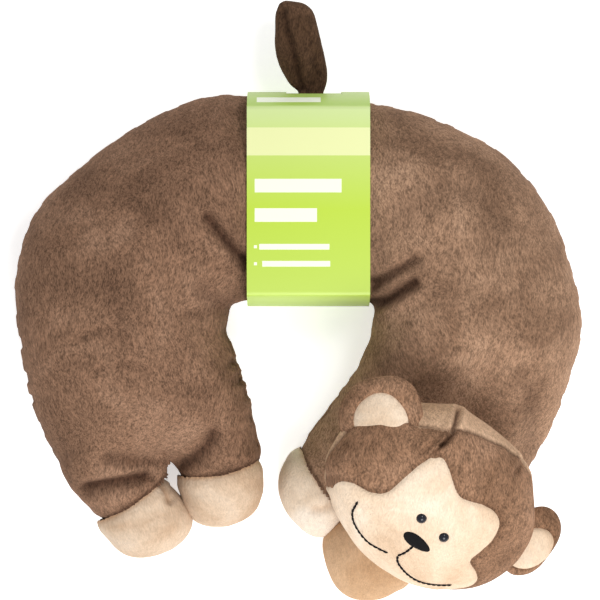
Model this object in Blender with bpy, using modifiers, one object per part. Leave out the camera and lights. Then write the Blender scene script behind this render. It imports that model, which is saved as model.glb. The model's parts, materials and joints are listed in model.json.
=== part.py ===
"""Stuffed monkey: a child's U-shaped travel pillow with a sewn head, paws, ears and tail.

The pillow lies flat on its underside.  +Z is up, +Y points from the paws to the tail, and +X
points to the head's side.  The origin is the middle of the footprint, on the surface it lies on.
Run with: blender --background --python part.py
"""
import math

import bmesh
import bpy
from mathutils import Matrix, Vector

MM = 0.001

# Fabric and clearances
FABRIC = 1.5 * MM              # thickness of one layer of pile fabric
SEAM_GAP = 0.3 * MM            # between two layers that are sewn edge to edge
BODY_GAP = 1.0 * MM            # between two bodies that turn against each other
FILL_INSET = 3.0 * MM          # from the outside of the cover to the filling
NECK_SIDE_INSET = 10.0 * MM    # the same beside the neck opening, where sections run aslant

# The pillow: where the middle of the back ends and the two halves begin
BACK_LEFT_X = -29.0 * MM
BACK_RIGHT_X = 38.0 * MM
SEAM_Z = 34.0 * MM             # height of the seam that runs round the pillow
PLUMPNESS = 2.3                # exponent of the cross-section, 2 is an ellipse
SAG = 1.35                     # underside depth over seam height, before the flat cuts it
RIM = 1.5 * MM                 # upright strip beside the seam
ACROSS = 12                    # faces across one panel

# Stations down each half in millimetres: outer edge (x, y), inner edge (x, y), seam height,
# height of the top, height of the underside
BACK_STATIONS = (
    (-29.0, 109.5, -29.0, 0.5, 34.0, 69.5, 1.5),
    (4.0, 109.8, 4.0, 1.0, 34.0, 70.0, 1.5),
    (38.0, 107.5, 38.0, -0.5, 34.0, 69.5, 1.5),
)
HIND_STATIONS = (
    (-29.0, 109.5, -29.0, 0.5, 34.0, 69.5, 1.5),
    (-56.7, 109.6, -34.6, -2.7, 34.0, 73.0, 0.0),
    (-86.4, 95.6, -38.9, -8.1, 34.0, 74.0, 0.0),
    (-116.1, 72.9, -40.0, -11.9, 34.0, 74.0, 0.0),
    (-140.4, 47.0, -39.4, -16.7, 34.0, 74.0, 0.0),
    (-152.0, 18.9, -37.8, -23.2, 34.0, 74.0, 0.0),
    (-152.0, -10.8, -35.1, -31.3, 34.0, 73.0, 0.0),
    (-147.4, -42.1, -31.3, -43.2, 33.0, 70.0, 0.0),
    (-140.4, -67.5, -27.5, -56.7, 31.0, 64.0, 0.0),
    (-133.9, -84.0, -24.8, -67.0, 28.0, 55.0, 0.0),
    (-130.5, -92.5, -24.0, -72.0, 26.0, 46.0, 3.0),
    (-128.5, -97.5, -23.5, -75.0, 25.0, 37.0, 11.0),
)
FRONT_STATIONS = (
    (38.0, 107.5, 38.0, -0.5, 34.0, 69.5, 1.5),
    (56.7, 103.7, 40.0, -4.9, 34.0, 73.0, 0.0),
    (81.0, 94.5, 39.5, -9.7, 34.0, 74.0, 0.0),
    (108.0, 79.9, 38.3, -15.1, 34.0, 74.0, 0.0),
    (129.6, 56.7, 37.2, -21.6, 34.0, 74.0, 0.0),
    (144.2, 24.3, 34.6, -28.6, 34.0, 74.0, 0.0),
    (152.6, -8.1, 31.3, -36.7, 33.0, 71.0, 0.0),
    (150.7, -32.4, 27.0, -44.3, 31.0, 64.0, 0.0),
    (144.2, -54.0, 21.6, -53.5, 26.0, 52.0, 0.0),
    (136.6, -74.0, 15.1, -64.8, 20.0, 41.0, 0.0),
    (124.7, -96.1, 8.1, -75.6, 18.0, 37.0, 0.0),
    (105.5, -126.5, 3.6, -82.0, 17.0, 34.0, 1.0),
    (99.0, -134.5, 2.0, -84.5, 16.5, 26.0, 6.0),
)

# Legs in millimetres: root (x, y), heading in degrees, length, half width, half height, and the
# share of the length where the brown leg ends and the pale paw begins
LEGS = {
    "outer_hind": (-101.0, -94.3, -57.0, 49.0, 23.5, 20.0, 0.48),
    "inner_hind": (-45.0, -82.3, -79.0, 38.5, 20.5, 20.0, 0.36),
    "inner_front": (23.5, -100.0, 214.5, 34.0, 19.5, 18.5, 0.32),
    "outer_front": (61.8, -125.3, 213.5, 48.5, 20.8, 18.5, 0.36),
}
LEG_SEAM_GAP = 0.9 * MM
LEG_RINGS = 6
LEG_SIDES = 14
ROOT_SHARE = 0.42              # the leg swells over this share of its length

# The head, a flattened ball that lies on the front paws and looks up past the viewer
HEAD_CENTRE = Vector((69.5, -102.2, 80.0)) * MM
HEAD_RADII = Vector((60.0, 48.0, 34.0)) * MM
HEAD_ROLL = math.radians(-44.0)
HEAD_TILT = math.radians(25.0)
HEAD_SEAM = 6.0 * MM           # height of the side seam over the middle of the ball
HEAD_FILL_INSET = 4.5 * MM
HEAD_SEAM_GAP = 1.0 * MM
HEAD_SIDES = 28
HEAD_RINGS = 7

# The neck, a gathered tuft between the pillow and the back of the head
NECK_CENTRE = Vector((70.0, -94.0, 0.0)) * MM
NECK_BASE_Z = 38.0 * MM
NECK_TOP_Z = 43.4 * MM
NECK_RADIUS = 8.0 * MM

# The face, measured on the head in millimetres
PATCH_LIFT = 1.3 * MM
PATCH_THICKNESS = 0.8 * MM
EYE_SPACING = 8.2 * MM         # from the middle of the face to each eye
EYE_Y = -2.2 * MM
EYE_RADIUS = 2.9 * MM
EYE_HEIGHT = 2.0 * MM
STEM_RADIUS = 1.0 * MM
STEM_HOLE_RADIUS = 1.5 * MM
WASHER_RADIUS = 4.0 * MM
WASHER_THICKNESS = 0.7 * MM
NOSE_Y = -13.0 * MM
NOSE_HALF_WIDTH = 8.4 * MM
NOSE_HALF_HEIGHT = 3.4 * MM
THREAD_RADIUS = 0.6 * MM

# The ears, flat padded discs on the crown's two corners
EAR_ROOT_TURN = math.radians(20.0)      # from the head's side towards its crown
EAR_ROOT_Z = 3.0 * MM
EAR_HEADING = math.radians(46.0)        # from the head's side towards its crown
EAR_LEANS = {"left_ear": 0.0, "right_ear": math.radians(25.0)}
EAR_HALF_WIDTH = 21.0 * MM
EAR_HALF_LENGTH = 14.0 * MM
EAR_GAP = 2.5 * MM
EAR_BULGE = 4.0 * MM
EAR_RIM_SHARE = 0.68           # the pale inner ear's size over the whole ear's
EAR_FABRIC = 0.8 * MM
EAR_SIDES = 18
EAR_SEAM_GAP = 1.8 * MM

# The tail, a flat padded tube sewn into the seam at the middle of the back
TAIL_ROOT = Vector((8.0, 111.2, 34.0)) * MM
TAIL_HEADING = math.radians(98.0)
TAIL_LENGTH = 50.5 * MM
TAIL_HALF_WIDTH = 11.5 * MM
TAIL_HALF_THICKNESS = 6.0 * MM
TAIL_SIDES = 14

# The printed card band round the middle of the back
SLEEVE_LEFT_X = -27.0 * MM
SLEEVE_RIGHT_X = 37.0 * MM
SLEEVE_OUTER_Y = 113.3 * MM
SLEEVE_INNER_Y = -3.6 * MM
SLEEVE_TOP_Z = 73.0 * MM
SLEEVE_CARD = 0.5 * MM
SLEEVE_CORNER = 22.0 * MM
TAIL_SLOT_WIDTH = 30.0 * MM
TAIL_SLOT_HEIGHT = 20.0 * MM

# Colour (linear), roughness and metallic value of each material
MATERIALS = {
    "brown_plush": ((0.135, 0.085, 0.058, 1.0), 0.95, 0.0),
    "cream_plush": ((0.800, 0.560, 0.360, 1.0), 0.95, 0.0),
    "black_thread": ((0.012, 0.011, 0.011, 1.0), 0.55, 0.0),
    "black_plastic": ((0.008, 0.008, 0.008, 1.0), 0.12, 0.0),
    "washer_plastic": ((0.750, 0.740, 0.700, 1.0), 0.45, 0.0),
    "fibre_fill": ((0.900, 0.900, 0.880, 1.0), 1.00, 0.0),
    "bead_fill": ((0.920, 0.920, 0.920, 1.0), 0.90, 0.0),
    "green_card": ((0.320, 0.620, 0.060, 1.0), 0.45, 0.0),
}


def clear_scene():
    """Remove every object of the open scene."""
    for old in list(bpy.data.objects):
        bpy.data.objects.remove(old, do_unlink=True)


def new_collection(name):
    """Make a collection in the scene."""
    collection = bpy.data.collections.new(name)
    bpy.context.scene.collection.children.link(collection)
    return collection


def make_material(name, part_name):
    """One Principled material for one sub-part."""
    colour, roughness, metallic = MATERIALS[name]
    material = bpy.data.materials.new(part_name + "_" + name)
    material.use_nodes = True
    shader = material.node_tree.nodes["Principled BSDF"]
    shader.inputs["Base Color"].default_value = colour
    shader.inputs["Roughness"].default_value = roughness
    shader.inputs["Metallic"].default_value = metallic
    material.diffuse_color = colour
    return material


def pivot_empty(name, position):
    """An empty on a joint's axis, the parent of the pieces that turn there."""
    empty = bpy.data.objects.new(name + "_pivot", None)
    empty.location = position
    PARTS.objects.link(empty)
    bpy.context.view_layer.update()
    return empty


def place(obj, pivot, frame):
    """Parent an object to a pivot and put it at its frame in the world."""
    if pivot is not None:
        obj.parent = pivot
        obj.matrix_parent_inverse = pivot.matrix_world.inverted()
    obj.matrix_basis = frame
    return obj


def add_mesh(name, bm, material, pivot=None, frame=Matrix()):
    """Turn a bmesh into a named object with its own material."""
    mesh = bpy.data.meshes.new(name)
    bm.to_mesh(mesh)
    bm.free()
    mesh.shade_smooth()
    obj = bpy.data.objects.new(name, mesh)
    mesh.materials.append(make_material(material, name))
    PARTS.objects.link(obj)
    return place(obj, pivot, frame)


def solidify(obj, thickness):
    """Give an open surface its thickness, inwards."""
    shell = obj.modifiers.new("thickness", "SOLIDIFY")
    shell.thickness = thickness
    shell.offset = -1.0
    return obj


def face_outward(bm, centre):
    """Turn all faces away from a point inside."""
    bmesh.ops.recalc_face_normals(bm, faces=bm.faces)
    bm.normal_update()
    side = sum(face.normal.dot(face.calc_center_median() - centre) for face in bm.faces)
    if side < 0.0:
        bmesh.ops.reverse_faces(bm, faces=bm.faces)


def loft(rings, closed_ring, cap_start=False, cap_end=False):
    """Skin a row of rings.  A ring of one point closes the loft to a pole."""
    bm = bmesh.new()
    rows = [[bm.verts.new(point) for point in ring] for ring in rings]
    for lower, upper in zip(rows, rows[1:]):
        count = max(len(lower), len(upper))
        for i in range(count if closed_ring else count - 1):
            j = (i + 1) % count
            if len(lower) == 1:
                bm.faces.new((lower[0], upper[i], upper[j]))
            elif len(upper) == 1:
                bm.faces.new((lower[i], lower[j], upper[0]))
            else:
                bm.faces.new((lower[i], lower[j], upper[j], upper[i]))
    if cap_start:
        bm.faces.new(rows[0])
    if cap_end:
        bm.faces.new(rows[-1])
    middle = sum((vert.co for vert in bm.verts), Vector()) / len(bm.verts)
    face_outward(bm, middle)
    return bm


# ---------------------------------------------------------------- pillow

def superellipse(angle, exponent):
    """Unit superellipse point at an angle."""
    c = math.cos(angle)
    s = math.sin(angle)
    x = math.copysign(abs(c) ** (2.0 / exponent), c)
    y = math.copysign(abs(s) ** (2.0 / exponent), s)
    return x, y


def section(row, start, end, inset=0.0, lift=0.0):
    """Points of one cross-section, from angle start to angle end in half turns."""
    outer = Vector((row[0], row[1], row[4]))
    inner = Vector((row[2], row[3], row[4]))
    if inset > 0.0:
        across = (outer - inner).normalized()
        outer -= across * inset
        inner += across * NECK_SIDE_INSET
    middle = (outer + inner) / 2.0
    reach = (outer - inner) / 2.0
    rise = row[5] - row[4] - inset - RIM
    drop = (row[4] - row[6]) * SAG - inset - RIM
    floor = row[6] + inset
    up = 1.0 if start < 1.0 and end <= 1.0 else -1.0
    points = [middle + reach * math.cos(math.pi * start) + Vector((0.0, 0.0, lift * up))]
    for i in range(ACROSS + 1):
        angle = math.pi * (start + (end - start) * i / ACROSS)
        x, z = superellipse(angle, PLUMPNESS)
        point = middle + reach * x
        height = up * RIM + z * (rise if up > 0.0 else drop)
        point.z = max(row[4] + height, floor)
        points.append(point)
    points.append(middle + reach * math.cos(math.pi * end) + Vector((0.0, 0.0, lift * up)))
    return points


def shift_end(rows, index, gap):
    """Move an end section away from its neighbour along X."""
    rows[index][0] += gap
    rows[index][2] += gap


def make_pillow_part(prefix, stations, end_shifts, fill_end, pivot):
    """Upper panel, lower panel and bead filling of one stretch of the pillow."""
    rows = [[value * MM for value in station] for station in stations]
    for index, gap in end_shifts:
        shift_end(rows, index, gap)
    half_seam = SEAM_GAP / 2.0
    upper = loft([section(row, 0.0, 1.0, lift=half_seam) for row in rows], False)
    turn_up(upper, True)
    solidify(add_mesh(prefix + "_top_panel", upper, "brown_plush", pivot), FABRIC)
    lower = loft([section(row, 1.0, 2.0, lift=half_seam) for row in rows], False)
    turn_up(lower, False)
    solidify(add_mesh(prefix + "_bottom_panel", lower, "brown_plush", pivot), FABRIC)
    rings = []
    for row in rows[:fill_end]:
        top = section(row, 0.0, 1.0, inset=FILL_INSET)
        bottom = section(row, 1.0, 2.0, inset=FILL_INSET)
        rings.append(top[:-1] + bottom[:-1])
    fill = loft(rings, True, cap_start=True, cap_end=True)
    add_mesh(prefix + "_bead_fill", fill, "bead_fill", pivot)


def turn_up(bm, up):
    """Make an open panel's faces look up, or down."""
    total = sum(face.normal.z * face.calc_area() for face in bm.faces)
    if (total > 0.0) != up:
        bmesh.ops.reverse_faces(bm, faces=bm.faces)


# ---------------------------------------------------------------- legs

def leg_swell(share):
    """Size of a leg's section at a share of its length: a soft root, a full middle, a blunt tip."""
    if share < ROOT_SHARE:
        return max(math.sin(0.5 * math.pi * share / ROOT_SHARE), 0.0) ** 0.6
    tip = (share - ROOT_SHARE) / (1.0 - ROOT_SHARE)
    return max(1.0 - tip ** 2.6, 0.0) ** (1.0 / 2.4)


def leg_ring(leg, share, inset=0.0):
    """One ring round a leg, or one point where the leg closes."""
    x, y, heading, length, half_width, half_height, _ = leg
    along = Vector((math.cos(math.radians(heading)), math.sin(math.radians(heading)), 0.0))
    side = Vector((-along.y, along.x, 0.0))
    reach = inset + share * (length * MM - 2.0 * inset)
    centre = Vector((x * MM, y * MM, half_height * MM)) + along * (reach + BODY_GAP)
    swell = leg_swell(share)
    if swell < 0.02:
        return [centre]
    wide = (half_width * MM - inset) * swell
    tall = (half_height * MM - inset) * swell
    ring = []
    for i in range(LEG_SIDES):
        angle = 2.0 * math.pi * i / LEG_SIDES
        ring.append(centre + side * wide * math.cos(angle) + Vector((0.0, 0.0, tall * math.sin(angle))))
    return ring


def make_leg(name, leg, pivot):
    """Brown leg cover, pale paw cover and fibre filling of one leg."""
    seam = leg[6]
    gap_share = LEG_SEAM_GAP / (leg[3] * MM)
    root = [leg_ring(leg, seam * i / (LEG_RINGS - 1)) for i in range(LEG_RINGS)]
    cover = loft(root, True)
    solidify(add_mesh(name + "_leg_cover", cover, "brown_plush", pivot), FABRIC)
    start = seam + gap_share
    paw = []
    for i in range(LEG_RINGS + 1):
        t = math.sin(0.5 * math.pi * i / LEG_RINGS)
        paw.append(leg_ring(leg, start + (1.0 - start) * t))
    solidify(add_mesh(name + "_paw_cover", loft(paw, True), "cream_plush", pivot), FABRIC)
    stuffing = []
    for i in range(LEG_RINGS + 2):
        t = 0.5 - 0.5 * math.cos(math.pi * i / (LEG_RINGS + 1))
        stuffing.append(leg_ring(leg, t, inset=FILL_INSET))
    add_mesh(name + "_leg_fill", loft(stuffing, True), "fibre_fill", pivot)


# ---------------------------------------------------------------- head

def head_surface(x, y, lift=0.0):
    """Point of the front of the head over (x, y) of the head's own frame."""
    a, b, c = HEAD_RADII
    inside = 1.0 - (x / a) ** 2 - (y / b) ** 2
    z = c * math.sqrt(max(inside, 0.02))
    normal = Vector((x / a ** 2, y / b ** 2, z / c ** 2)).normalized()
    return Vector((x, y, z)) + normal * lift


def head_dome(sign, inset=0.0):
    """Half of the head's ball, from its pole to the side seam."""
    a, b, c = HEAD_RADII - Vector((inset, inset, inset))
    seam = HEAD_SEAM + sign * HEAD_SEAM_GAP / 2.0
    last = math.acos(sign * seam / c)
    rings = [[Vector((0.0, 0.0, sign * c))]]
    for i in range(1, HEAD_RINGS + 1):
        polar = last * i / HEAD_RINGS
        ring = []
        for j in range(HEAD_SIDES):
            turn = 2.0 * math.pi * j / HEAD_SIDES
            x = a * math.sin(polar) * math.cos(turn)
            y = b * math.sin(polar) * math.sin(turn)
            ring.append(Vector((x, y, sign * c * math.cos(polar))))
        rings.append(ring)
    return rings


def face_outline(turn):
    """Radius of the face patch at an angle: two round brows over a wide muzzle."""
    direction = Vector((math.cos(turn), math.sin(turn)))
    radius = 0.0
    circles = (
        (Vector((16.5, 7.5)), 17.0, 18.5),
        (Vector((-16.5, 7.5)), 17.0, 18.5),
        (Vector((0.0, -23.5)), 46.0, 20.0),
    )
    for centre, half_width, half_height in circles:
        scaled = Vector((direction.x / half_width, direction.y / half_height))
        offset = Vector((centre.x / half_width, centre.y / half_height))
        a = scaled.dot(scaled)
        b = scaled.dot(offset)
        inside = b * b - a * (offset.dot(offset) - 1.0)
        if inside > 0.0:
            radius = max(radius, (b + math.sqrt(inside)) / a)
    return radius * MM


def make_face_patch(pivot, frame):
    """The pale fabric of the face, sewn on the front of the head."""
    sides = 36
    shares = (0.0, 0.3, 0.55, 0.72, 0.84, 0.93, 1.0)
    rings = []
    for share in shares:
        ring = []
        for i in range(sides):
            turn = 2.0 * math.pi * i / sides
            reach = face_outline(turn) * share
            point = Vector((reach * math.cos(turn), reach * math.sin(turn)))
            ring.append(head_surface(point.x, point.y, PATCH_LIFT + PATCH_THICKNESS))
        rings.append(ring if share > 0.0 else ring[:1])
    bm = loft(rings, True)
    turn_up(bm, True)
    patch = solidify(add_mesh("face_patch", bm, "cream_plush", pivot, frame), PATCH_THICKNESS)
    return patch


def cut_hole(target, cutter):
    """Boolean cut of one object by a cutter."""
    cut = target.modifiers.new("cut_" + cutter.name, "BOOLEAN")
    cut.operation = "DIFFERENCE"
    cut.solver = "EXACT"
    cut.object = cutter


def add_cutter(name, bm, frame):
    """A hidden cutting shape."""
    mesh = bpy.data.meshes.new(name)
    bm.to_mesh(mesh)
    bm.free()
    obj = bpy.data.objects.new(name, mesh)
    obj.matrix_basis = frame
    obj.hide_render = True
    obj.display_type = "WIRE"
    CUTTERS.objects.link(obj)
    return obj


def cylinder(radius, low, high, sides=24):
    """A closed cylinder along Z between two heights."""
    bm = bmesh.new()
    bmesh.ops.create_cone(
        bm, cap_ends=True, segments=sides, radius1=radius, radius2=radius, depth=high - low)
    bmesh.ops.translate(bm, verts=bm.verts, vec=(0.0, 0.0, (low + high) / 2.0))
    return bm


def surface_frame(x, y):
    """Frame on the front of the head with its Z axis out of the surface."""
    foot = head_surface(x, y)
    normal = (head_surface(x, y, 1.0) - foot).normalized()
    return Matrix.Translation(foot) @ normal.to_track_quat("Z", "Y").to_matrix().to_4x4()


def make_eye(name, side, pivot, frame, covers):
    """A domed safety eye on a stem, held from inside by a washer."""
    eye_frame = frame @ surface_frame(side * EYE_SPACING, EYE_Y)
    base = PATCH_LIFT + PATCH_THICKNESS + SEAM_GAP
    stem_end = -FABRIC - 0.4 * MM - WASHER_THICKNESS
    profile = [Vector((0.0, 0.0, stem_end)), Vector((STEM_RADIUS, 0.0, stem_end))]
    profile += [Vector((STEM_RADIUS, 0.0, base)), Vector((EYE_RADIUS, 0.0, base))]
    for i in range(1, 6):
        angle = 0.5 * math.pi * i / 5
        profile.append(Vector((EYE_RADIUS * math.cos(angle), 0.0, base + EYE_HEIGHT * math.sin(angle))))
    sides = 16
    rings = []
    for point in profile:
        if point.x < 0.01 * MM:
            rings.append([Vector((0.0, 0.0, point.z))])
        else:
            turns = [2.0 * math.pi * i / sides for i in range(sides)]
            rings.append([Vector((point.x * math.cos(t), point.x * math.sin(t), point.z)) for t in turns])
    add_mesh(name, loft(rings, True), "black_plastic", pivot, eye_frame)
    hole = add_cutter(name + "_stem_hole", cylinder(STEM_HOLE_RADIUS, -6 * MM, 6 * MM), eye_frame)
    for cover in covers:
        cut_hole(cover, hole)
    low = stem_end
    washer = cylinder(WASHER_RADIUS, low, low + WASHER_THICKNESS)
    washer_object = add_mesh(name + "_washer", washer, "washer_plastic", pivot, eye_frame)
    bore = add_cutter(name + "_washer_bore", cylinder(STEM_RADIUS + 0.1 * MM, -6 * MM, 6 * MM), eye_frame)
    cut_hole(washer_object, bore)


def make_nose(pivot, frame):
    """The satin-stitched nose, an oval pad on the face patch."""
    base = PATCH_LIFT + PATCH_THICKNESS + SEAM_GAP
    rings = []
    sides = 28
    for share, lift in ((1.0, 0.0), (1.0, 0.5 * MM), (0.72, 0.9 * MM), (0.0, 1.0 * MM)):
        ring = []
        for i in range(sides):
            x, y = superellipse(2.0 * math.pi * i / sides, 2.2)
            px = NOSE_HALF_WIDTH * x * share
            py = NOSE_Y + NOSE_HALF_HEIGHT * y * share
            ring.append(head_surface(px, py, base + lift))
        rings.append(ring if share > 0.0 else ring[:1])
    add_mesh("nose_embroidery", loft(rings, True, cap_start=True), "black_thread", pivot, frame)


def smile_path(side):
    """Points of one half of the smile, from the middle of the face to the cheek."""
    path = []
    for i in range(13):
        t = i / 12.0
        dip = 5.2 * math.sin(math.pi * min(t * 1.25, 1.0))
        rise = 17.0 * max(t - 0.35, 0.0) ** 1.4
        path.append((side * (1.8 + 35.0 * t), -29.8 - dip + rise))
    return path


def make_mouth(pivot, frame):
    """The stitched mouth: a short upright line and two curves, each a raised cord of thread."""
    base = PATCH_LIFT + PATCH_THICKNESS + SEAM_GAP + THREAD_RADIUS
    paths = {
        "mouth_line": [(0.0, -17.8 - 1.3 * i) for i in range(7)],
        "left_smile": smile_path(-1.0),
        "right_smile": smile_path(1.0),
    }
    for name, path in paths.items():
        curve = bpy.data.curves.new(name, "CURVE")
        curve.dimensions = "3D"
        curve.bevel_depth = THREAD_RADIUS
        curve.bevel_resolution = 1
        curve.use_fill_caps = True
        spline = curve.splines.new("POLY")
        spline.points.add(len(path) - 1)
        for point, (x, y) in zip(spline.points, path):
            point.co = (*head_surface(x * MM, y * MM, base), 1.0)
        curve.materials.append(make_material("black_thread", name))
        obj = bpy.data.objects.new(name, curve)
        PARTS.objects.link(obj)
        place(obj, pivot, frame)


def ear_root(side):
    """Where an ear is sewn to the head, in the head's own frame."""
    a, b, c = HEAD_RADII
    level = math.sqrt(1.0 - (EAR_ROOT_Z / c) ** 2)
    x = side * a * level * math.cos(EAR_ROOT_TURN)
    return Vector((x, b * level * math.sin(EAR_ROOT_TURN), EAR_ROOT_Z))


def make_ear(name, side, pivot, head_frame):
    """Back, rim and pale inner fabric of one ear."""
    lean = EAR_LEANS[name]
    flat = Vector((side * math.cos(EAR_HEADING), math.sin(EAR_HEADING), 0.0))
    outward = flat * math.cos(lean) - Vector((0.0, 0.0, math.sin(lean)))
    lateral = Vector((flat.y, -flat.x, 0.0))
    facing = lateral.cross(outward)
    centre = ear_root(side) + outward * (EAR_HALF_LENGTH + EAR_GAP)
    ear = Matrix((lateral, outward, facing)).transposed().to_4x4()
    frame = head_frame @ Matrix.Translation(centre) @ ear

    def rings(shares, height):
        made = []
        for share in shares:
            ring = []
            for i in range(EAR_SIDES):
                turn = 2.0 * math.pi * i / EAR_SIDES
                x = EAR_HALF_WIDTH * share * math.cos(turn)
                y = EAR_HALF_LENGTH * share * math.sin(turn)
                ring.append(Vector((x, y, height(share))))
            made.append(ring if share > 0.0 else ring[:1])
        return made

    def back_height(share):
        return -0.5 * EAR_SEAM_GAP - EAR_BULGE * math.sqrt(max(1.0 - share * share, 0.0))

    def front_height(share):
        return 0.5 * EAR_SEAM_GAP + EAR_BULGE * math.sqrt(max(1.0 - share * share, 0.0))

    back = loft(rings((0.0, 0.4, 0.7, 0.9, 1.0), back_height), True)
    turn_up(back, False)
    solidify(add_mesh(name + "_back", back, "brown_plush", pivot, frame), EAR_FABRIC)
    rim = loft(rings((EAR_RIM_SHARE, 0.85, 0.95, 1.0), front_height), True)
    turn_up(rim, True)
    solidify(add_mesh(name + "_front_rim", rim, "brown_plush", pivot, frame), EAR_FABRIC)
    inner_share = EAR_RIM_SHARE - SEAM_GAP * 2.5 / EAR_HALF_LENGTH
    inner = loft(rings((0.0, 0.4, inner_share), front_height), True)
    turn_up(inner, True)
    solidify(add_mesh(name + "_inner", inner, "cream_plush", pivot, frame), EAR_FABRIC)


def make_head(head_pivot, ear_pivots, frame):
    """Covers, filling, face and ears."""
    front = loft(head_dome(1.0), True)
    turn_up(front, True)
    front = solidify(add_mesh("head_front_panel", front, "brown_plush", head_pivot, frame), FABRIC)
    back = loft(head_dome(-1.0), True)
    turn_up(back, False)
    solidify(add_mesh("head_back_panel", back, "brown_plush", head_pivot, frame), FABRIC)
    rings = head_dome(1.0, HEAD_FILL_INSET) + head_dome(-1.0, HEAD_FILL_INSET)[-2::-1]
    add_mesh("head_fibre_fill", loft(rings, True), "fibre_fill", head_pivot, frame)
    patch = make_face_patch(head_pivot, frame)
    for name, side in (("left_eye", -1.0), ("right_eye", 1.0)):
        make_eye(name, side, head_pivot, frame, (patch, front))
    make_nose(head_pivot, frame)
    make_mouth(head_pivot, frame)
    for name, side in (("left_ear", -1.0), ("right_ear", 1.0)):
        make_ear(name, side, ear_pivots[name], frame)


def make_neck(pivot):
    """The gathered neck, a short tuft with a pinched waist."""
    half = (NECK_TOP_Z - NECK_BASE_Z) / 2.0
    rings = []
    for i in range(7):
        height = -half + 2.0 * half * i / 6
        waist = 1.0 - 0.25 * math.cos(0.5 * math.pi * height / half)
        ring = []
        for j in range(24):
            turn = 2.0 * math.pi * j / 24
            fold = NECK_RADIUS * waist * (1.0 + 0.04 * math.cos(12.0 * turn))
            ring.append(NECK_CENTRE + Vector((fold * math.cos(turn), fold * math.sin(turn), 0.0)))
            ring[-1].z = NECK_BASE_Z + half + height
        rings.append(ring)
    add_mesh("neck_gather", loft(rings, True, cap_start=True, cap_end=True), "brown_plush", pivot)


# ---------------------------------------------------------------- tail and sleeve

def tail_ring(share, inset):
    """One ring round the tail, narrow at the root and round at the tip."""
    along = Vector((math.cos(TAIL_HEADING), math.sin(TAIL_HEADING), 0.0))
    side = Vector((-along.y, along.x, 0.0))
    reach = inset + share * (TAIL_LENGTH - 2.0 * inset)
    centre = TAIL_ROOT + along * reach
    swell = math.sin(0.5 * math.pi * min(0.30 + share * 1.05, 1.0))
    tip = max(1.0 - max((share - 0.62) / 0.38, 0.0) ** 2.4, 0.0) ** 0.5
    size = swell * tip
    if size < 0.02:
        return [centre]
    ring = []
    for i in range(TAIL_SIDES):
        x, z = superellipse(2.0 * math.pi * i / TAIL_SIDES, 2.2)
        across = side * x * (TAIL_HALF_WIDTH * size - inset)
        ring.append(centre + across + Vector((0.0, 0.0, z * (TAIL_HALF_THICKNESS * size - inset * 0.8))))
    return ring


def make_tail(pivot):
    """Cover and filling of the tail.  The cover is open at its root, where it is sewn in."""
    shares = (0.0, 0.15, 0.32, 0.5, 0.66, 0.8, 0.9, 0.97, 1.0)
    cover = loft([tail_ring(share, 0.0) for share in shares], True)
    solidify(add_mesh("tail_cover", cover, "brown_plush", pivot), 1.0 * MM)
    stuffing = [tail_ring(share, 1.6 * MM) for share in shares[1:]]
    add_mesh("tail_fill", loft(stuffing, True, cap_start=True), "fibre_fill", pivot)


def make_sleeve(pivot):
    """The card band: a rounded loop of thin card, with a slot for the tail."""
    middle_y = (SLEEVE_OUTER_Y + SLEEVE_INNER_Y) / 2.0
    half_y = (SLEEVE_OUTER_Y - SLEEVE_INNER_Y) / 2.0
    loop = []
    for corner, (sign_y, sign_z) in enumerate(((1, 1), (-1, 1), (-1, -1), (1, -1))):
        radius = SLEEVE_CORNER
        centre_y = middle_y + sign_y * (half_y - radius)
        centre_z = SLEEVE_TOP_Z / 2.0 + sign_z * (SLEEVE_TOP_Z / 2.0 - radius)
        for i in range(7):
            turn = 0.5 * math.pi * (corner + i / 6.0)
            loop.append(Vector((0.0, centre_y + radius * math.cos(turn), centre_z + radius * math.sin(turn))))
    rings = []
    for x in (SLEEVE_LEFT_X, SLEEVE_RIGHT_X):
        rings.append([point + Vector((x, 0.0, 0.0)) for point in loop])
    sleeve = solidify(add_mesh("card_sleeve", loft(rings, True), "green_card", pivot), SLEEVE_CARD)
    slot = bmesh.new()
    bmesh.ops.create_cube(slot, size=1.0)
    bmesh.ops.scale(slot, vec=(TAIL_SLOT_WIDTH, 6.0 * MM, TAIL_SLOT_HEIGHT), verts=slot.verts)
    place_slot = Matrix.Translation((TAIL_ROOT.x, SLEEVE_OUTER_Y, TAIL_ROOT.z))
    cut_hole(sleeve, add_cutter("tail_slot", slot, place_slot))


# ---------------------------------------------------------------- assembly

def head_frame():
    """The head's own frame: X to its side, Y to its crown, Z out of its face."""
    turn = Matrix.Rotation(HEAD_TILT, 4, "X") @ Matrix.Rotation(HEAD_ROLL, 4, "Z")
    return Matrix.Translation(HEAD_CENTRE) @ turn


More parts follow.
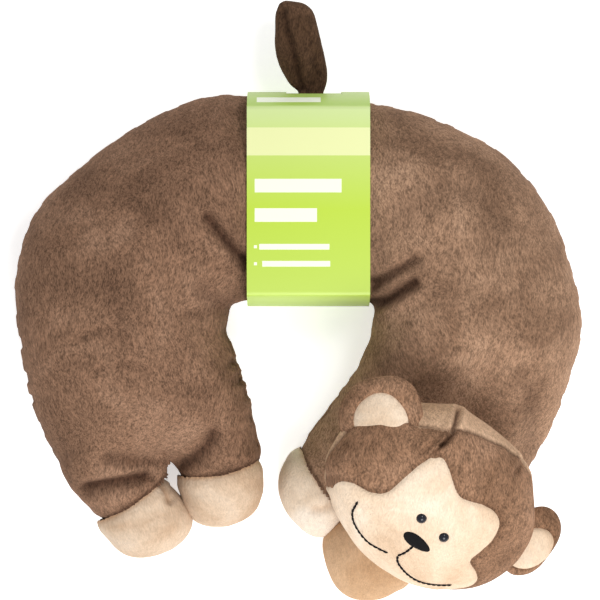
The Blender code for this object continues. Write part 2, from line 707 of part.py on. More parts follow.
def main():
    """Make every piece and hang it on its pivot."""
    hind = pivot_empty("hind_half", (BACK_LEFT_X, 112.0 * MM, SEAM_Z))
    front = pivot_empty("front_half", (BACK_RIGHT_X, 110.0 * MM, SEAM_Z))
    half_gap = BODY_GAP / 2.0
    make_pillow_part("back", BACK_STATIONS, ((0, half_gap), (-1, -half_gap)), None, None)
    make_pillow_part("hind", HIND_STATIONS, ((0, -half_gap),), -2, hind)
    make_pillow_part("front", FRONT_STATIONS, ((0, half_gap),), -1, front)
    for name, leg in LEGS.items():
        pivot = pivot_empty(name, (leg[0] * MM, leg[1] * MM, leg[5] * MM))
        make_leg(name, leg, pivot)
    frame = head_frame()
    neck = pivot_empty("neck", NECK_CENTRE + Vector((0.0, 0.0, NECK_BASE_Z)))
    make_neck(neck)
    head = pivot_empty("head", NECK_CENTRE + Vector((0.0, 0.0, NECK_TOP_Z)))
    ear_pivots = {}
    for name, side in (("left_ear", -1.0), ("right_ear", 1.0)):
        ear_pivots[name] = pivot_empty(name, frame @ ear_root(side))
    make_head(head, ear_pivots, frame)
    make_tail(pivot_empty("tail", TAIL_ROOT))
    make_sleeve(pivot_empty("sleeve", (0.0, 0.0, 0.0)))


clear_scene()
PARTS = new_collection("stuffed_monkey")
CUTTERS = new_collection("cutters")
main()
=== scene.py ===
"""Looks of the stuffed monkey travel pillow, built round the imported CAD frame.

Everything is in metres in the frame's own axes: +Z up, +Y towards the tail, +X towards the head.
"""
import json
import math

import bmesh
import bpy
import numpy as np
from mathutils import Matrix, Vector, noise
from mathutils.bvhtree import BVHTree

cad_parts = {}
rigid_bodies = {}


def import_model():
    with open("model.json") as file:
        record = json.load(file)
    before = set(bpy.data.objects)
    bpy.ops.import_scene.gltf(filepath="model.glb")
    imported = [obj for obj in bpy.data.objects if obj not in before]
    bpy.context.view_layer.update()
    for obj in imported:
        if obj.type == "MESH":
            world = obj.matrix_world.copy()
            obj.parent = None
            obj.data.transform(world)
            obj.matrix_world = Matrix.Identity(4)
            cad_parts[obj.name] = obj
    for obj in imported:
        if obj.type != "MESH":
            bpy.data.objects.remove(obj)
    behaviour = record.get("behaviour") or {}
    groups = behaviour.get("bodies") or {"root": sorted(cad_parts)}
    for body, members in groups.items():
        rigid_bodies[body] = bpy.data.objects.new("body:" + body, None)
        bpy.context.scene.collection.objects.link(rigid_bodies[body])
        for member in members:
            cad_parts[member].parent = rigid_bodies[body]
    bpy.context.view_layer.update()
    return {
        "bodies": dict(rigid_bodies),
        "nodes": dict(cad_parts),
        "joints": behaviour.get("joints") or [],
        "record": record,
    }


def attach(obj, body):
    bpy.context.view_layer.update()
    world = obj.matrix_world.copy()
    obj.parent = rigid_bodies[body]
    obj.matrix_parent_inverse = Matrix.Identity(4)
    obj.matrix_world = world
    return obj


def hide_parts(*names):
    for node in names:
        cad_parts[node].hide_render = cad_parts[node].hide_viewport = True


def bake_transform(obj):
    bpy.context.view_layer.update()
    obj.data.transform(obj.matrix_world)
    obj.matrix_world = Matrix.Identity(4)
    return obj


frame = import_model()

MM = 0.001

# ---------------------------------------------------------------- camera and light

CAMERA_HEIGHT = 2.0
VIEW_LEVEL = 0.036          # height at which the view is VIEW_WIDTH across
VIEW_WIDTH = 0.324
SENSOR = 36.0
LIGHT_AIM = Vector((0.0, 0.0, 0.03))


def make_camera():
    """A long lens straight above the pillow, with +Y up in the picture."""
    data = bpy.data.cameras.new("camera")
    data.sensor_width = SENSOR
    data.lens = SENSOR * (CAMERA_HEIGHT - VIEW_LEVEL) / VIEW_WIDTH
    data.clip_end = 20.0
    camera = bpy.data.objects.new("camera", data)
    camera.location = (0.0, 0.0, CAMERA_HEIGHT)
    bpy.context.scene.collection.objects.link(camera)
    bpy.context.scene.camera = camera


def make_area_light(name, location, size, power):
    """A soft white square light that looks at the middle of the object."""
    data = bpy.data.lights.new(name, "AREA")
    data.size = size
    data.energy = power
    light = bpy.data.objects.new(name, data)
    light.location = location
    aim = LIGHT_AIM - Vector(location)
    light.rotation_euler = aim.to_track_quat("-Z", "Y").to_euler()
    bpy.context.scene.collection.objects.link(light)


def make_studio():
    """White lit floor, a bright even sky, a key light from below the view and a small one above."""
    world = bpy.data.worlds.new("studio")
    world.use_nodes = True
    background = world.node_tree.nodes["Background"]
    background.inputs["Color"].default_value = (1.0, 1.0, 1.0, 1.0)
    background.inputs["Strength"].default_value = 0.56
    bpy.context.scene.world = world
    bpy.context.scene.view_settings.view_transform = "Standard"
    make_area_light("key", (0.22, -0.75, 0.85), 0.6, 10.0)
    make_area_light("upper", (0.40, 0.40, 1.2), 0.25, 3.5)
    bpy.ops.mesh.primitive_plane_add(size=12.0, location=(0.0, 0.0, -0.0004))
    floor = bpy.context.object
    floor.name = "floor"
    material, tree, shader, _ = start_material("floor_white")
    set_inputs(tree, shader, {
        "Base Color": (0.92, 0.92, 0.92, 1.0), "Roughness": 0.9,
        "Emission Color": (1.0, 1.0, 1.0, 1.0), "Emission Strength": 0.55})
    floor.data.materials.append(material)


# ---------------------------------------------------------------- materials

def set_inputs(tree, node, inputs):
    """Set a node's inputs by name or number; a socket is linked instead."""
    for name, value in inputs.items():
        if isinstance(value, bpy.types.NodeSocket):
            tree.links.new(value, node.inputs[name])
        else:
            node.inputs[name].default_value = value


def add_node(tree, kind, inputs, **settings):
    """A shader node with its settings and inputs."""
    node = tree.nodes.new("ShaderNode" + kind)
    for name, value in settings.items():
        setattr(node, name, value)
    set_inputs(tree, node, inputs)
    return node


def maths(tree, operation, *values):
    """Result of one step of arithmetic."""
    return add_node(tree, "Math", dict(enumerate(values)), operation=operation).outputs["Value"]


def mottle(tree, place, scale, detail=2.0, roughness=0.5, distortion=0.0):
    """Outputs of a noise texture."""
    inputs = {
        "Vector": place, "Scale": scale, "Detail": detail, "Roughness": roughness, "Distortion": distortion}
    return add_node(tree, "TexNoise", inputs).outputs


def colour_ramp(tree, source, stops):
    """Colour read from stops, each a position and a colour."""
    ramp = add_node(tree, "ValToRGB", {"Fac": source})
    elements = ramp.color_ramp.elements
    elements[0].position, elements[0].color = stops[0]
    elements[1].position, elements[1].color = stops[-1]
    for position, colour in stops[1:-1]:
        elements.new(position).color = colour
    return ramp.outputs["Color"]


def add_bump(tree, shader, height, strength, distance):
    """Fine relief of a surface."""
    bump = add_node(tree, "Bump", {"Strength": strength, "Distance": distance, "Height": height})
    tree.links.new(bump.outputs["Normal"], shader.inputs["Normal"])


def start_material(name):
    """A new material with its tree, its shader and the place of each point on the object."""
    material = bpy.data.materials.new(name)
    material.use_nodes = True
    tree = material.node_tree
    return material, tree, tree.nodes["Principled BSDF"], add_node(tree, "TexCoord", {}).outputs["Object"]


def pile_fabric(name, dark, middle, light, contrast, sheen, fold_shade_tint):
    """Short brushed pile: brushed patches, fine stretched grain, sheen, a soft bump and painted shade in
    folds.
    """
    material, tree, shader, place = start_material(name)
    dark, middle, light = [(*tone, 1.0) for tone in (dark, middle, light)]
    bend = mottle(tree, place, 16.0)["Color"]
    lean = add_node(
        tree, "VectorMath", {0: bend, 1: (0.022, 0.022, 0.022), 2: place}, operation="MULTIPLY_ADD")
    comb = add_node(tree, "Mapping", {
        "Vector": lean.outputs["Vector"], "Rotation": (0.0, 0.0, 0.55), "Scale": (1.0, 0.42, 1.0)})
    combed = comb.outputs["Vector"]
    hairs = mottle(tree, combed, 1500.0, roughness=0.6)["Fac"]
    tufts = mottle(tree, combed, 560.0)["Fac"]
    brushed = mottle(tree, place, 21.0, 5.0, 0.58, 0.6)["Fac"]
    patches = colour_ramp(tree, brushed, ((0.36, dark), (0.51, middle), (0.66, light)))
    both = maths(tree, "MULTIPLY_ADD", tufts, 0.6, hairs)
    spread = add_node(tree, "MapRange", {
        "Value": both, "From Min": 0.60, "From Max": 1.00,
        "To Min": 1.0 - contrast, "To Max": 1.0 + contrast})
    shade = add_node(tree, "VectorMath", {0: patches, "Scale": spread.outputs["Result"]}, operation="SCALE")
    # painted shade: the fold attribute multiplies the tint into creases and seam grooves
    fold = add_node(tree, "Attribute", {}, attribute_name="fold")
    deep = add_node(
        tree, "Mix", {"Factor": fold.outputs["Fac"], "A": shade.outputs["Vector"], "B": fold_shade_tint},
        data_type="RGBA", blend_type="MULTIPLY")
    add_bump(tree, shader, both, 0.55, 0.0009)
    set_inputs(tree, shader, {
        "Base Color": deep.outputs["Result"], "Roughness": 0.96, "Specular IOR Level": 0.12,
        "Sheen Weight": sheen, "Sheen Roughness": 0.45, "Sheen Tint": light})
    return material


PALE = (0.74, 0.78, 0.38, 1.0)
WHITE = (0.86, 0.90, 0.72, 1.0)
CARD_BARS = (               # middle and half size of each bar in mm, and its tint
    (4.5, 84.0, 40.0, 7.4, PALE),
    (-1.0, 60.6, 23.0, 3.6, WHITE),
    (-7.5, 45.0, 16.5, 3.6, WHITE),
    (-23.6, 28.2, 0.8, 0.8, WHITE),
    (-3.0, 28.2, 18.6, 1.5, WHITE),
    (-23.6, 19.2, 0.8, 0.8, WHITE),
    (-2.0, 19.2, 18.0, 1.5, WHITE),
    (-6.0, 106.6, 17.0, 1.5, WHITE),
)
# green along the card from the near side to the far side: darker down both folded sides, painted shade, with
# a paler line by each fold
CARD_STOPS = (
    (0.0, (0.42, 0.64, 0.055, 1.0)), (0.065, (0.50, 0.70, 0.10, 1.0)), (0.075, (0.48, 0.64, 0.10, 1.0)),
    (0.20, (0.48, 0.65, 0.08, 1.0)), (0.45, (0.47, 0.65, 0.045, 1.0)), (0.70, (0.51, 0.66, 0.14, 1.0)),
    (0.902, (0.57, 0.69, 0.30, 1.0)), (0.912, (0.38, 0.57, 0.07, 1.0)), (1.0, (0.46, 0.60, 0.16, 1.0)),
)
PRINT_LOW = 0.036           # nothing is printed on the card below this height


def card_print(tree, place, base):
    """Pale bars printed on the card, over its base colour."""
    axes = add_node(tree, "SeparateXYZ", {"Vector": place}).outputs
    above = maths(tree, "GREATER_THAN", axes["Z"], PRINT_LOW)
    colour = base
    for x, y, half_x, half_y, tint in CARD_BARS:
        wide = maths(tree, "COMPARE", axes["X"], x * MM, half_x * MM)
        high = maths(tree, "COMPARE", axes["Y"], y * MM, half_y * MM)
        shown = maths(tree, "MULTIPLY", maths(tree, "MULTIPLY", wide, high), above)
        mix = add_node(tree, "Mix", {"Factor": shown, "A": colour, "B": tint}, data_type="RGBA")
        colour = mix.outputs["Result"]
    return colour


def card():
    """Green card: a soft gradient, darker green down the folded sides as painted shade, plain pale bars."""
    material, tree, shader, place = start_material("green_card")
    axes = add_node(tree, "SeparateXYZ", {"Vector": place}).outputs
    along = add_node(tree, "MapRange", {"Value": axes["Y"], "From Min": -0.006, "From Max": 0.114})
    base = colour_ramp(tree, along.outputs["Result"], CARD_STOPS)
    add_bump(tree, shader, mottle(tree, place, 420.0)["Fac"], 0.05, 0.0003)
    set_inputs(tree, shader, {"Base Color": card_print(tree, place, base), "Roughness": 0.42})
    return material


def clouded(name, scale, dark, light, **inputs):
    """A finish faintly clouded between two tones; also its tree, its shader and the cloud."""
    material, tree, shader, place = start_material(name)
    cloud = mottle(tree, place, scale)["Fac"]
    inputs["Base Color"] = colour_ramp(tree, cloud, ((0.0, (*dark, 1.0)), (1.0, (*light, 1.0))))
    set_inputs(tree, shader, inputs)
    return material, tree, shader, cloud


def eye_plastic():
    """Hard glossy black plastic."""
    finish = clouded("eye_black", 900.0, (0.008, 0.008, 0.012), (0.014, 0.014, 0.022), **{
        "Roughness": 0.12, "Specular IOR Level": 0.30})
    return finish[0]


def thread():
    """Black embroidery thread: fine twisted strands with a low sheen."""
    material, tree, shader, strands = clouded(
        "black_thread", 2600.0, (0.004, 0.004, 0.005), (0.012, 0.010, 0.010), **{
            "Roughness": 0.85, "Specular IOR Level": 0.12})
    add_bump(tree, shader, strands, 0.4, 0.0003)
    return material


def washer_plastic():
    """Pale translucent-looking plastic of the hidden washers."""
    return clouded("washer_plastic", 300.0, (0.62, 0.62, 0.60), (0.78, 0.78, 0.76), Roughness=0.35)[0]


# tints of painted shade, multiplied into the pile where the fold attribute marks creases and seam grooves
BROWN_FOLD_SHADE = (0.26, 0.22, 0.21, 1.0)
CREAM_FOLD_SHADE = (0.78, 0.58, 0.42, 1.0)
FABRICS = {                 # three tones, grain, sheen and the tint of painted shade in folds
    # brown and cream hold the pile's own tones; the other entries copy them lighter or darker
    "brown": ((0.150, 0.082, 0.050), (0.205, 0.114, 0.070), (0.255, 0.148, 0.094), 0.50, 0.35, BROWN_FOLD_SHADE),
    # lighter copy of the brown pile: painted light on the front half
    "brown_front": (
        (0.200, 0.115, 0.070), (0.290, 0.173, 0.108), (0.370, 0.228, 0.146), 0.45, 0.35, BROWN_FOLD_SHADE),
    # much lighter copy of the brown pile: painted light on the head's back panel and crown
    "brown_back": ((0.42, 0.265, 0.165), (0.53, 0.345, 0.220), (0.61, 0.405, 0.265), 0.30, 0.35, BROWN_FOLD_SHADE),
    # lighter copy of the brown pile: painted light on the head and ears
    "brown_head": (
        (0.175, 0.093, 0.052), (0.245, 0.136, 0.080), (0.315, 0.182, 0.112), 0.50, 0.35, BROWN_FOLD_SHADE),
    # darker copy of the brown pile: painted shade on the tail
    "brown_tail": (
        (0.070, 0.037, 0.020), (0.100, 0.054, 0.031), (0.140, 0.079, 0.046), 0.45, 0.30, BROWN_FOLD_SHADE),
    "cream": ((0.60, 0.425, 0.285), (0.715, 0.550, 0.400), (0.800, 0.660, 0.520), 0.10, 0.15, CREAM_FOLD_SHADE),
    # darker copy of the cream pile: painted shade on the paws
    "cream_paw": ((0.50, 0.350, 0.235), (0.60, 0.455, 0.330), (0.680, 0.550, 0.430), 0.12, 0.15, CREAM_FOLD_SHADE),
    # lighter copy of the cream pile: painted light on the inner front paw
    "cream_pale": ((0.62, 0.480, 0.350), (0.72, 0.590, 0.460), (0.80, 0.700, 0.590), 0.10, 0.15, CREAM_FOLD_SHADE),
    # darker, warmer copy of the cream pile: painted shade of the head, with warm bounce light, on the outer
    # front paw
    "cream_warm": ((0.42, 0.250, 0.135), (0.50, 0.310, 0.175), (0.58, 0.380, 0.230), 0.12, 0.15, CREAM_FOLD_SHADE),
}
FABRIC_NAMES = {
    "brown": "brown_minky", "brown_front": "brown_minky_front_lit", "brown_back": "brown_minky_crown_lit",
    "brown_head": "brown_minky_head_lit", "brown_tail": "brown_minky_tail_shaded", "cream": "cream_minky",
    "cream_paw": "cream_minky_paw", "cream_pale": "cream_minky_lit", "cream_warm": "cream_minky_shaded",
}


def make_materials():
    """Every finish of the toy; most pile fabrics are lighter or darker copies of the brown or cream pile,
    painted light and painted shade.
    """
    made = {key: pile_fabric(FABRIC_NAMES[key], *look) for key, look in FABRICS.items()}
    made.update(eye=eye_plastic(), thread=thread(), card=card(), washer=washer_plastic())
    return made


# ---------------------------------------------------------------- lofted soft forms

PLUMPNESS = 2.25            # exponent of the padded cross-section
RING_POINTS = 56


def catmull_rom(rows, steps):
    """Rows of numbers on a smooth curve through the given rows."""
    rows = np.array(rows, float)
    smooth = []
    for i in range(len(rows) - 1):
        p0 = rows[max(i - 1, 0)]
        p1 = rows[i]
        p2 = rows[i + 1]
        p3 = rows[min(i + 2, len(rows) - 1)]
        for step in range(steps):
            t = step / steps
            a = 2.0 * p1 + (p2 - p0) * t
            b = (2.0 * p0 - 5.0 * p1 + 4.0 * p2 - p3) * t * t
            c = (3.0 * p1 - p0 - 3.0 * p2 + p3) * t ** 3
            smooth.append(0.5 * (a + b + c))
    smooth.append(rows[-1])
    return np.array(smooth)


def padded_loft(name, rows, pole=None):
    """Closed padded form.  A row is left (x, y), right (x, y), seam, top and base height in mm."""
    smooth = catmull_rom(rows, 5) * MM
    bm = bmesh.new()
    rings = []
    angles = np.linspace(0.0, 2.0 * math.pi, RING_POINTS, endpoint=False)
    across = np.sign(np.cos(angles)) * np.abs(np.cos(angles)) ** (2.0 / PLUMPNESS)
    height = np.sign(np.sin(angles)) * np.abs(np.sin(angles)) ** (2.0 / PLUMPNESS)
    for left_x, left_y, right_x, right_y, seam, top, base in smooth:
        ring = []
        for a, h in zip(across, height):
            x = (left_x + right_x) / 2.0 + (left_x - right_x) / 2.0 * a
            y = (left_y + right_y) / 2.0 + (left_y - right_y) / 2.0 * a
            z = seam + h * (top - seam if h > 0.0 else (seam - base) * 1.3)
            ring.append(bm.verts.new((x, y, max(z, base))))
        rings.append(ring)
    for lower, upper in zip(rings, rings[1:]):
        bridge(bm, lower, upper)
    bm.faces.new(rings[0])
    if pole is None:
        bm.faces.new(rings[-1])
    else:
        tip = bm.verts.new(Vector(pole) * MM)
        for i in range(RING_POINTS):
            bm.faces.new((rings[-1][i], rings[-1][(i + 1) % RING_POINTS], tip))
    bmesh.ops.recalc_face_normals(bm, faces=bm.faces)
    return new_object(name, bm)


def bridge(bm, lower, upper, closed=True):
    """A band of faces from one row of points to the next."""
    count = len(lower)
    for i in range(count if closed else count - 1):
        j = (i + 1) % count
        bm.faces.new((lower[i], lower[j], upper[j], upper[i]))


def smooth_object(name, bm):
    """Link a bmesh as a smooth object with its normals outwards."""
    bmesh.ops.recalc_face_normals(bm, faces=bm.faces)
    obj = new_object(name, bm)
    obj.data.shade_smooth()
    return obj


def new_object(name, bm):
    """Link a bmesh as an object."""
    mesh = bpy.data.meshes.new(name)
    bm.to_mesh(mesh)
    bm.free()
    obj = bpy.data.objects.new(name, mesh)
    bpy.context.scene.collection.objects.link(obj)
    return obj


def apply_modifiers(obj):
    """Replace the mesh by its evaluated one."""
    bpy.context.view_layer.update()
    evaluated = obj.evaluated_get(bpy.context.evaluated_depsgraph_get())
    mesh = bpy.data.meshes.new_from_object(evaluated)
    old = obj.data
    obj.modifiers.clear()
    obj.data = mesh
    bpy.data.meshes.remove(old)


def fuse(name, parts, voxel):
    """Join overlapping closed forms into one skin of even squares."""
    bm = bmesh.new()
    for part in parts:
        bm.from_mesh(part.data)
        bpy.data.objects.remove(part)
    obj = new_object(name, bm)
    remesh = obj.modifiers.new("remesh", "REMESH")
    remesh.mode = "VOXEL"
    remesh.voxel_size = voxel
    apply_modifiers(obj)
    smooth = obj.modifiers.new("smooth", "SMOOTH")
    smooth.factor = 0.5
    smooth.iterations = 6
    apply_modifiers(obj)
    return obj


def vectors(items, name):
    """One vector of every item, as an array."""
    values = np.empty(len(items) * 3, np.float32)
    items.foreach_get(name, values)
    return values.reshape(-1, 3).astype(float)


def coordinates(obj):
    """Vertex positions."""
    return vectors(obj.data.vertices, "co")


def normals(obj):
    """Vertex normals."""
    return vectors(obj.data.vertices, "normal")


def face_centres(obj):
    """Middle of each face."""
    return vectors(obj.data.polygons, "center")


def set_coordinates(obj, co):
    """Write vertex positions back."""
    obj.data.vertices.foreach_set("co", co.astype(np.float32).ravel())
    obj.data.update()


def push(obj, shift):
    """Move each point along its own normal, by one distance or by its own."""
    set_coordinates(obj, coordinates(obj) + normals(obj) * np.reshape(shift, (-1, 1)))


def plump(obj, pressure, cap):
    """Inflate a skin as cloth, moving no point further than cap."""
    rest = coordinates(obj)
    cloth = obj.modifiers.new("cloth", "CLOTH")
    settings = cloth.settings
    settings.quality = 5
    settings.mass = 0.25
    settings.tension_stiffness = 12.0
    settings.compression_stiffness = 12.0
    settings.shear_stiffness = 5.0
    settings.bending_stiffness = 0.4
    settings.use_pressure = True
    settings.uniform_pressure_force = pressure
    settings.effector_weights.gravity = 0.0
    scene = bpy.context.scene
    for step in range(1, 21):
        scene.frame_set(step)
    apply_modifiers(obj)
    scene.frame_set(1)
    moved = coordinates(obj) - rest
    length = np.linalg.norm(moved, axis=1, keepdims=True)
    moved *= np.minimum(1.0, cap / np.maximum(length, 1e-9))
    moved[:, 2] = np.where(rest[:, 2] < 0.004, 0.0, moved[:, 2])
    set_coordinates(obj, rest + moved)


def subdivide(obj, levels=1):
    """Catmull-Clark subdivision, applied."""
    modifier = obj.modifiers.new("subdivide", "SUBSURF")
    modifier.levels = levels
    modifier.render_levels = levels
    apply_modifiers(obj)


def smooth_noise(points, scale, seed):
    """Value of a smooth noise at each point, about -1 to 1."""
    shift = Vector((seed * 3.7, seed * 1.3, seed * 5.1))
    return np.array([noise.noise(Vector(p) * scale + shift) for p in points])


def polyline_distance(points, line):
    """Distance in plan of each point from a line of points."""
    best = np.full(len(points), 1e9)
    for a, b in zip(line, line[1:]):
        a = np.array(a)
        b = np.array(b)
        run = b - a
        t = np.clip(((points - a) @ run) / (run @ run), 0.0, 1.0)
        gap = np.linalg.norm(points - (a + t[:, None] * run), axis=1)
        best = np.minimum(best, gap)
    return best


def crease(co, no, line, depth, width, low=0.012):
    """Press a fold into the upper side along a line in plan, in mm."""
    gap = polyline_distance(co[:, :2], np.array(line) * MM)
    upper = np.clip((no[:, 2] + 0.15) / 0.5, 0.0, 1.0) * (co[:, 2] > low)
    width = width * MM
    valley = np.exp(-(gap / width) ** 2) * upper
    shoulder = np.exp(-((gap - 2.2 * width) / width) ** 2) * upper
    return -depth * MM * (valley - 0.3 * shoulder), valley * min(depth / 3.0, 1.0)


def press_folds(co, no, folds, low=0.012):
    """Every fold of a skin: how far each point moves, and how deep it lies, which sets its painted shade."""
    shift = np.zeros(len(co))
    fold = np.zeros(len(co))
    for line, depth, width in folds:
        pressed, deep = crease(co, no, catmull_rom(line, 6), depth, width, low)
        shift += pressed
        fold = np.maximum(fold, deep)
    return shift, fold


def paint_fold_shade(obj, fold):
    """Keep how deep in a fold or seam groove each point lies, for the painted shade in the fabric's colour.
    """
    mesh = obj.data
    stored = mesh.attributes.get("fold") or mesh.attributes.new("fold", "FLOAT", "POINT")
    before = np.empty(len(mesh.vertices), np.float32)
    stored.data.foreach_get("value", before)
    stored.data.foreach_set("value", np.maximum(before, fold.astype(np.float32)))


# ---------------------------------------------------------------- pillow

HIND_ARM = (
    (8, 110, 8, 0.8, 34, 69, 1.5), (-10, 110.4, -10, 0.8, 34, 69, 1.5),
    (-29, 111, -29.5, 0.2, 34, 69.8, 1.2), (-43, 112, -33, -1.2, 34, 72.5, 0.5),
    (-58.5, 108.4, -35, -3, 34, 74, 0), (-86.4, 95.2, -38, -8.1, 34, 75, 0),
    (-116.1, 73.3, -38.6, -11.9, 34, 75, 0), (-140.4, 49, -38.6, -16.7, 34, 75, 0),
    (-152, 20.9, -37.6, -23.2, 34, 75, 0), (-152.2, -10.8, -34.6, -31.3, 34, 74, 0),
    (-147.6, -42.1, -30.8, -43.2, 33, 71, 0), (-139.8, -67.5, -26.6, -56.7, 31, 64.5, 0),
    (-133.5, -83, -24.6, -66, 28, 56, 0), (-129, -90, -24, -71.5, 25, 45, 2),
)
FRONT_ARM = (
    (0, 109.4, 0, 0.8, 34, 69, 1.5), (18, 109.2, 18, 0.6, 34, 69, 1.5),
    (38, 108, 37.5, -0.8, 34, 70, 1.2), (56.7, 103.9, 39, -4.9, 34, 73.5, 0),
    (81, 94.8, 38.5, -9.7, 34, 75, 0), (108, 80, 37.3, -15.1, 34, 75, 0),
    (129.8, 56.7, 36, -21.6, 34, 75, 0), (144.5, 24.3, 33, -28.6, 34, 75, 0),
    (152.5, -8.1, 29, -36.7, 33, 72.5, 0), (150.3, -32.4, 23.5, -45, 31, 66, 0),
    (144.2, -54, 16.5, -55, 27, 56, 0), (136.6, -74, 9.5, -66, 22, 46, 0),
    (124.7, -96.1, 4, -76.5, 19, 40, 0), (105.5, -126.5, 2.6, -82, 18, 36, 1),
)


class Leg:
    """One leg: where its paw is sewn on, its outline from there, where it turns and bends.

    A row of the outline is the distance past the seam, the left and right edge, and the seam, top
    and base height, in mm along and across the leg.
    """

    def __init__(self, name, seam_middle, heading, bow, outline, tip, bend, side):
        turn = math.radians(heading)
        self.name = name
        self.middle = np.array(seam_middle) * MM
        self.along = np.array((math.cos(turn), math.sin(turn)))
        self.across = np.array((-math.sin(turn), math.cos(turn)))
        self.bow = bow
        self.outline = outline
        self.tip = tip
        self.bend_from = bend[0] * MM
        self.bend_to = bend[1] * MM
        self.side = side

    def place(self, reach, aside):
        """World x and y in mm of a spot given along and across the leg."""
        return self.middle / MM + self.along * reach + self.across * aside

    def rows(self):
        """Stations for padded_loft."""
        made = []
        for reach, left, right, seam, top, base in self.outline:
            made.append((*self.place(reach, left), *self.place(reach, right), seam, top, base))
        return made

    def pole(self):
        """Blunt tip of the paw."""
        return (*self.place(self.tip[0], self.tip[1]), self.tip[2])

    def reach(self, points):
        """Distance past the middle of the paw seam along the leg."""
        return (points[:, :2] - self.middle) @ self.along

    def past_seam(self, points):
        """Distance past the bowed paw seam."""
        aside = (points[:, :2] - self.middle) @ self.across
        return self.reach(points) + self.bow * (aside ** 2 / 0.02 - 0.01)

    def mine(self, points):
        """Points on this leg's side of the line between the two legs."""
        (x0, y0), (x1, y1), side = self.side
        cross = (x1 - x0) * (points[:, 1] - y0 * MM) - (y1 - y0) * (points[:, 0] - x0 * MM)
        return cross * side > 0.0


HIND_SPLIT = ((-71.5, -60.0), (-71.5, -100.0))
FRONT_SPLIT = ((60.0, -88.0), (10.0, -124.0))
HIND_LEGS = (
    Leg("outer_hind", (-91.5, -109.8), -57.0, 0.10, (
        (-38, -22.4, 34, 28, 58, 0), (-28, -23.8, 30.5, 25, 53, 0), (-18, -22.8, 27.8, 23, 48, 0),
        (-9, -21.8, 23.7, 21.5, 44, 0), (0, -20.4, 20.8, 20.5, 41.5, 0), (9, -21.2, 22.4, 20.5, 41.5, 0),
        (18, -20.1, 23.6, 20.5, 40.5, 0), (24, -16.7, 22.8, 20, 37.5, 1.5),
        (28.5, -11.2, 19.4, 20, 33, 5), (31.4, -5.2, 14.2, 20, 28, 10),
    ), (33.4, 5.0, 19.0), (-13.0, 14.0), (*HIND_SPLIT, -1.0)),
    Leg("inner_hind", (-44.2, -93.0), -79.0, 0.12, (
        (-34, -33, 24.5, 28, 58, 0), (-24, -29, 23.5, 25, 53, 0), (-14, -26.5, 23, 23, 48, 0),
        (-6, -23.1, 22.7, 21.5, 44, 0), (0, -21.3, 22.2, 20.5, 41.5, 0), (7, -22, 22.6, 20.5, 41.5, 0),
        (14, -21.8, 21.4, 20.5, 40.5, 0), (20, -20, 18.8, 20, 37.5, 1), (24.8, -16.6, 15.2, 20, 34, 4),
        (28, -10.5, 8.8, 20, 29, 9),
    ), (30.2, -1.0, 19.0), (-11.0, 13.0), (*HIND_SPLIT, 1.0)),
)
FRONT_LEGS = (
    Leg("inner_front", (10.8, -97.7), 214.5, 0.10, (
        (-34, -33, 24, 24, 44, 0), (-22, -29.5, 23, 21, 41, 0), (-11, -25, 22.5, 19.5, 39, 0),
        (-4, -21.3, 22.5, 19, 37.5, 0), (0, -19.5, 23, 18.5, 37, 0), (6, -19.3, 25.5, 18.5, 36.5, 0),
        (12, -17.2, 27.3, 18.5, 35.5, 0), (17, -13.5, 25.5, 18.5, 33.5, 1), (21, -7.5, 21, 18.5, 30, 4),
        (23.4, -1, 15, 18.5, 25.5, 9),
    ), (24.8, 6.0, 17.5), (-12.0, 10.0), (*FRONT_SPLIT, -1.0)),
    Leg("outer_front", (47.2, -135.0), 213.5, 0.10, (
        (-34, -24, 24, 24, 40, 0), (-20, -24, 23, 20, 38.5, 0), (-8, -24, 22.3, 19, 37.5, 0),
        (0, -24, 22, 18.5, 37, 0), (8, -25.5, 22, 18.5, 37, 0), (15, -26.6, 21.3, 18.5, 37, 0),
        (22, -24.8, 18.8, 18.5, 36, 0), (27, -21, 15.6, 18.5, 33.5, 1.5), (31, -13, 11.8, 18.5, 29, 5),
        (33.4, -5, 7.5, 18.5, 24, 10),
    ), (34.8, 1.5, 17.5), (-18.0, 9.0), (*FRONT_SPLIT, 1.0)),
)
SIM_VOXEL = 3.4 * MM
FINE_VOXEL = 2.6 * MM       # for the paws and the head
SIM_SHRINK = 1.2 * MM       # what smoothing the voxels takes off, given back before sewing


def padded_skin(name, forms, voxel, pressure, cap, give_back):
    """Fused, plumped and refined skin of closed forms, each given as its rows and its pole."""
    parts = [padded_loft(name + str(i), rows, pole) for i, (rows, pole) in enumerate(forms)]
    obj = fuse(name, parts, voxel)
    plump(obj, pressure, cap)
    subdivide(obj)
    push(obj, give_back)
    return obj


# ---------------------------------------------------------------- seams, folds and puckers

def seam_lines(rows, raised):
    """Outer and inner seam of an arm: x, y, height and running length of each point."""
    smooth = catmull_rom(rows, 5) * MM
    lines = []
    for x, y, lift in ((0, 1, 0.0), (2, 3, raised)):
        points = smooth[:, [x, y, 4]]
        points[:, 2] += lift * np.exp(-((points[:, 1] + 0.035) / 0.022) ** 2)
        steps = np.linalg.norm(np.diff(points[:, :2], axis=0), axis=1)
        lines.append((points, np.concatenate(([0.0], np.cumsum(steps)))))
    return lines


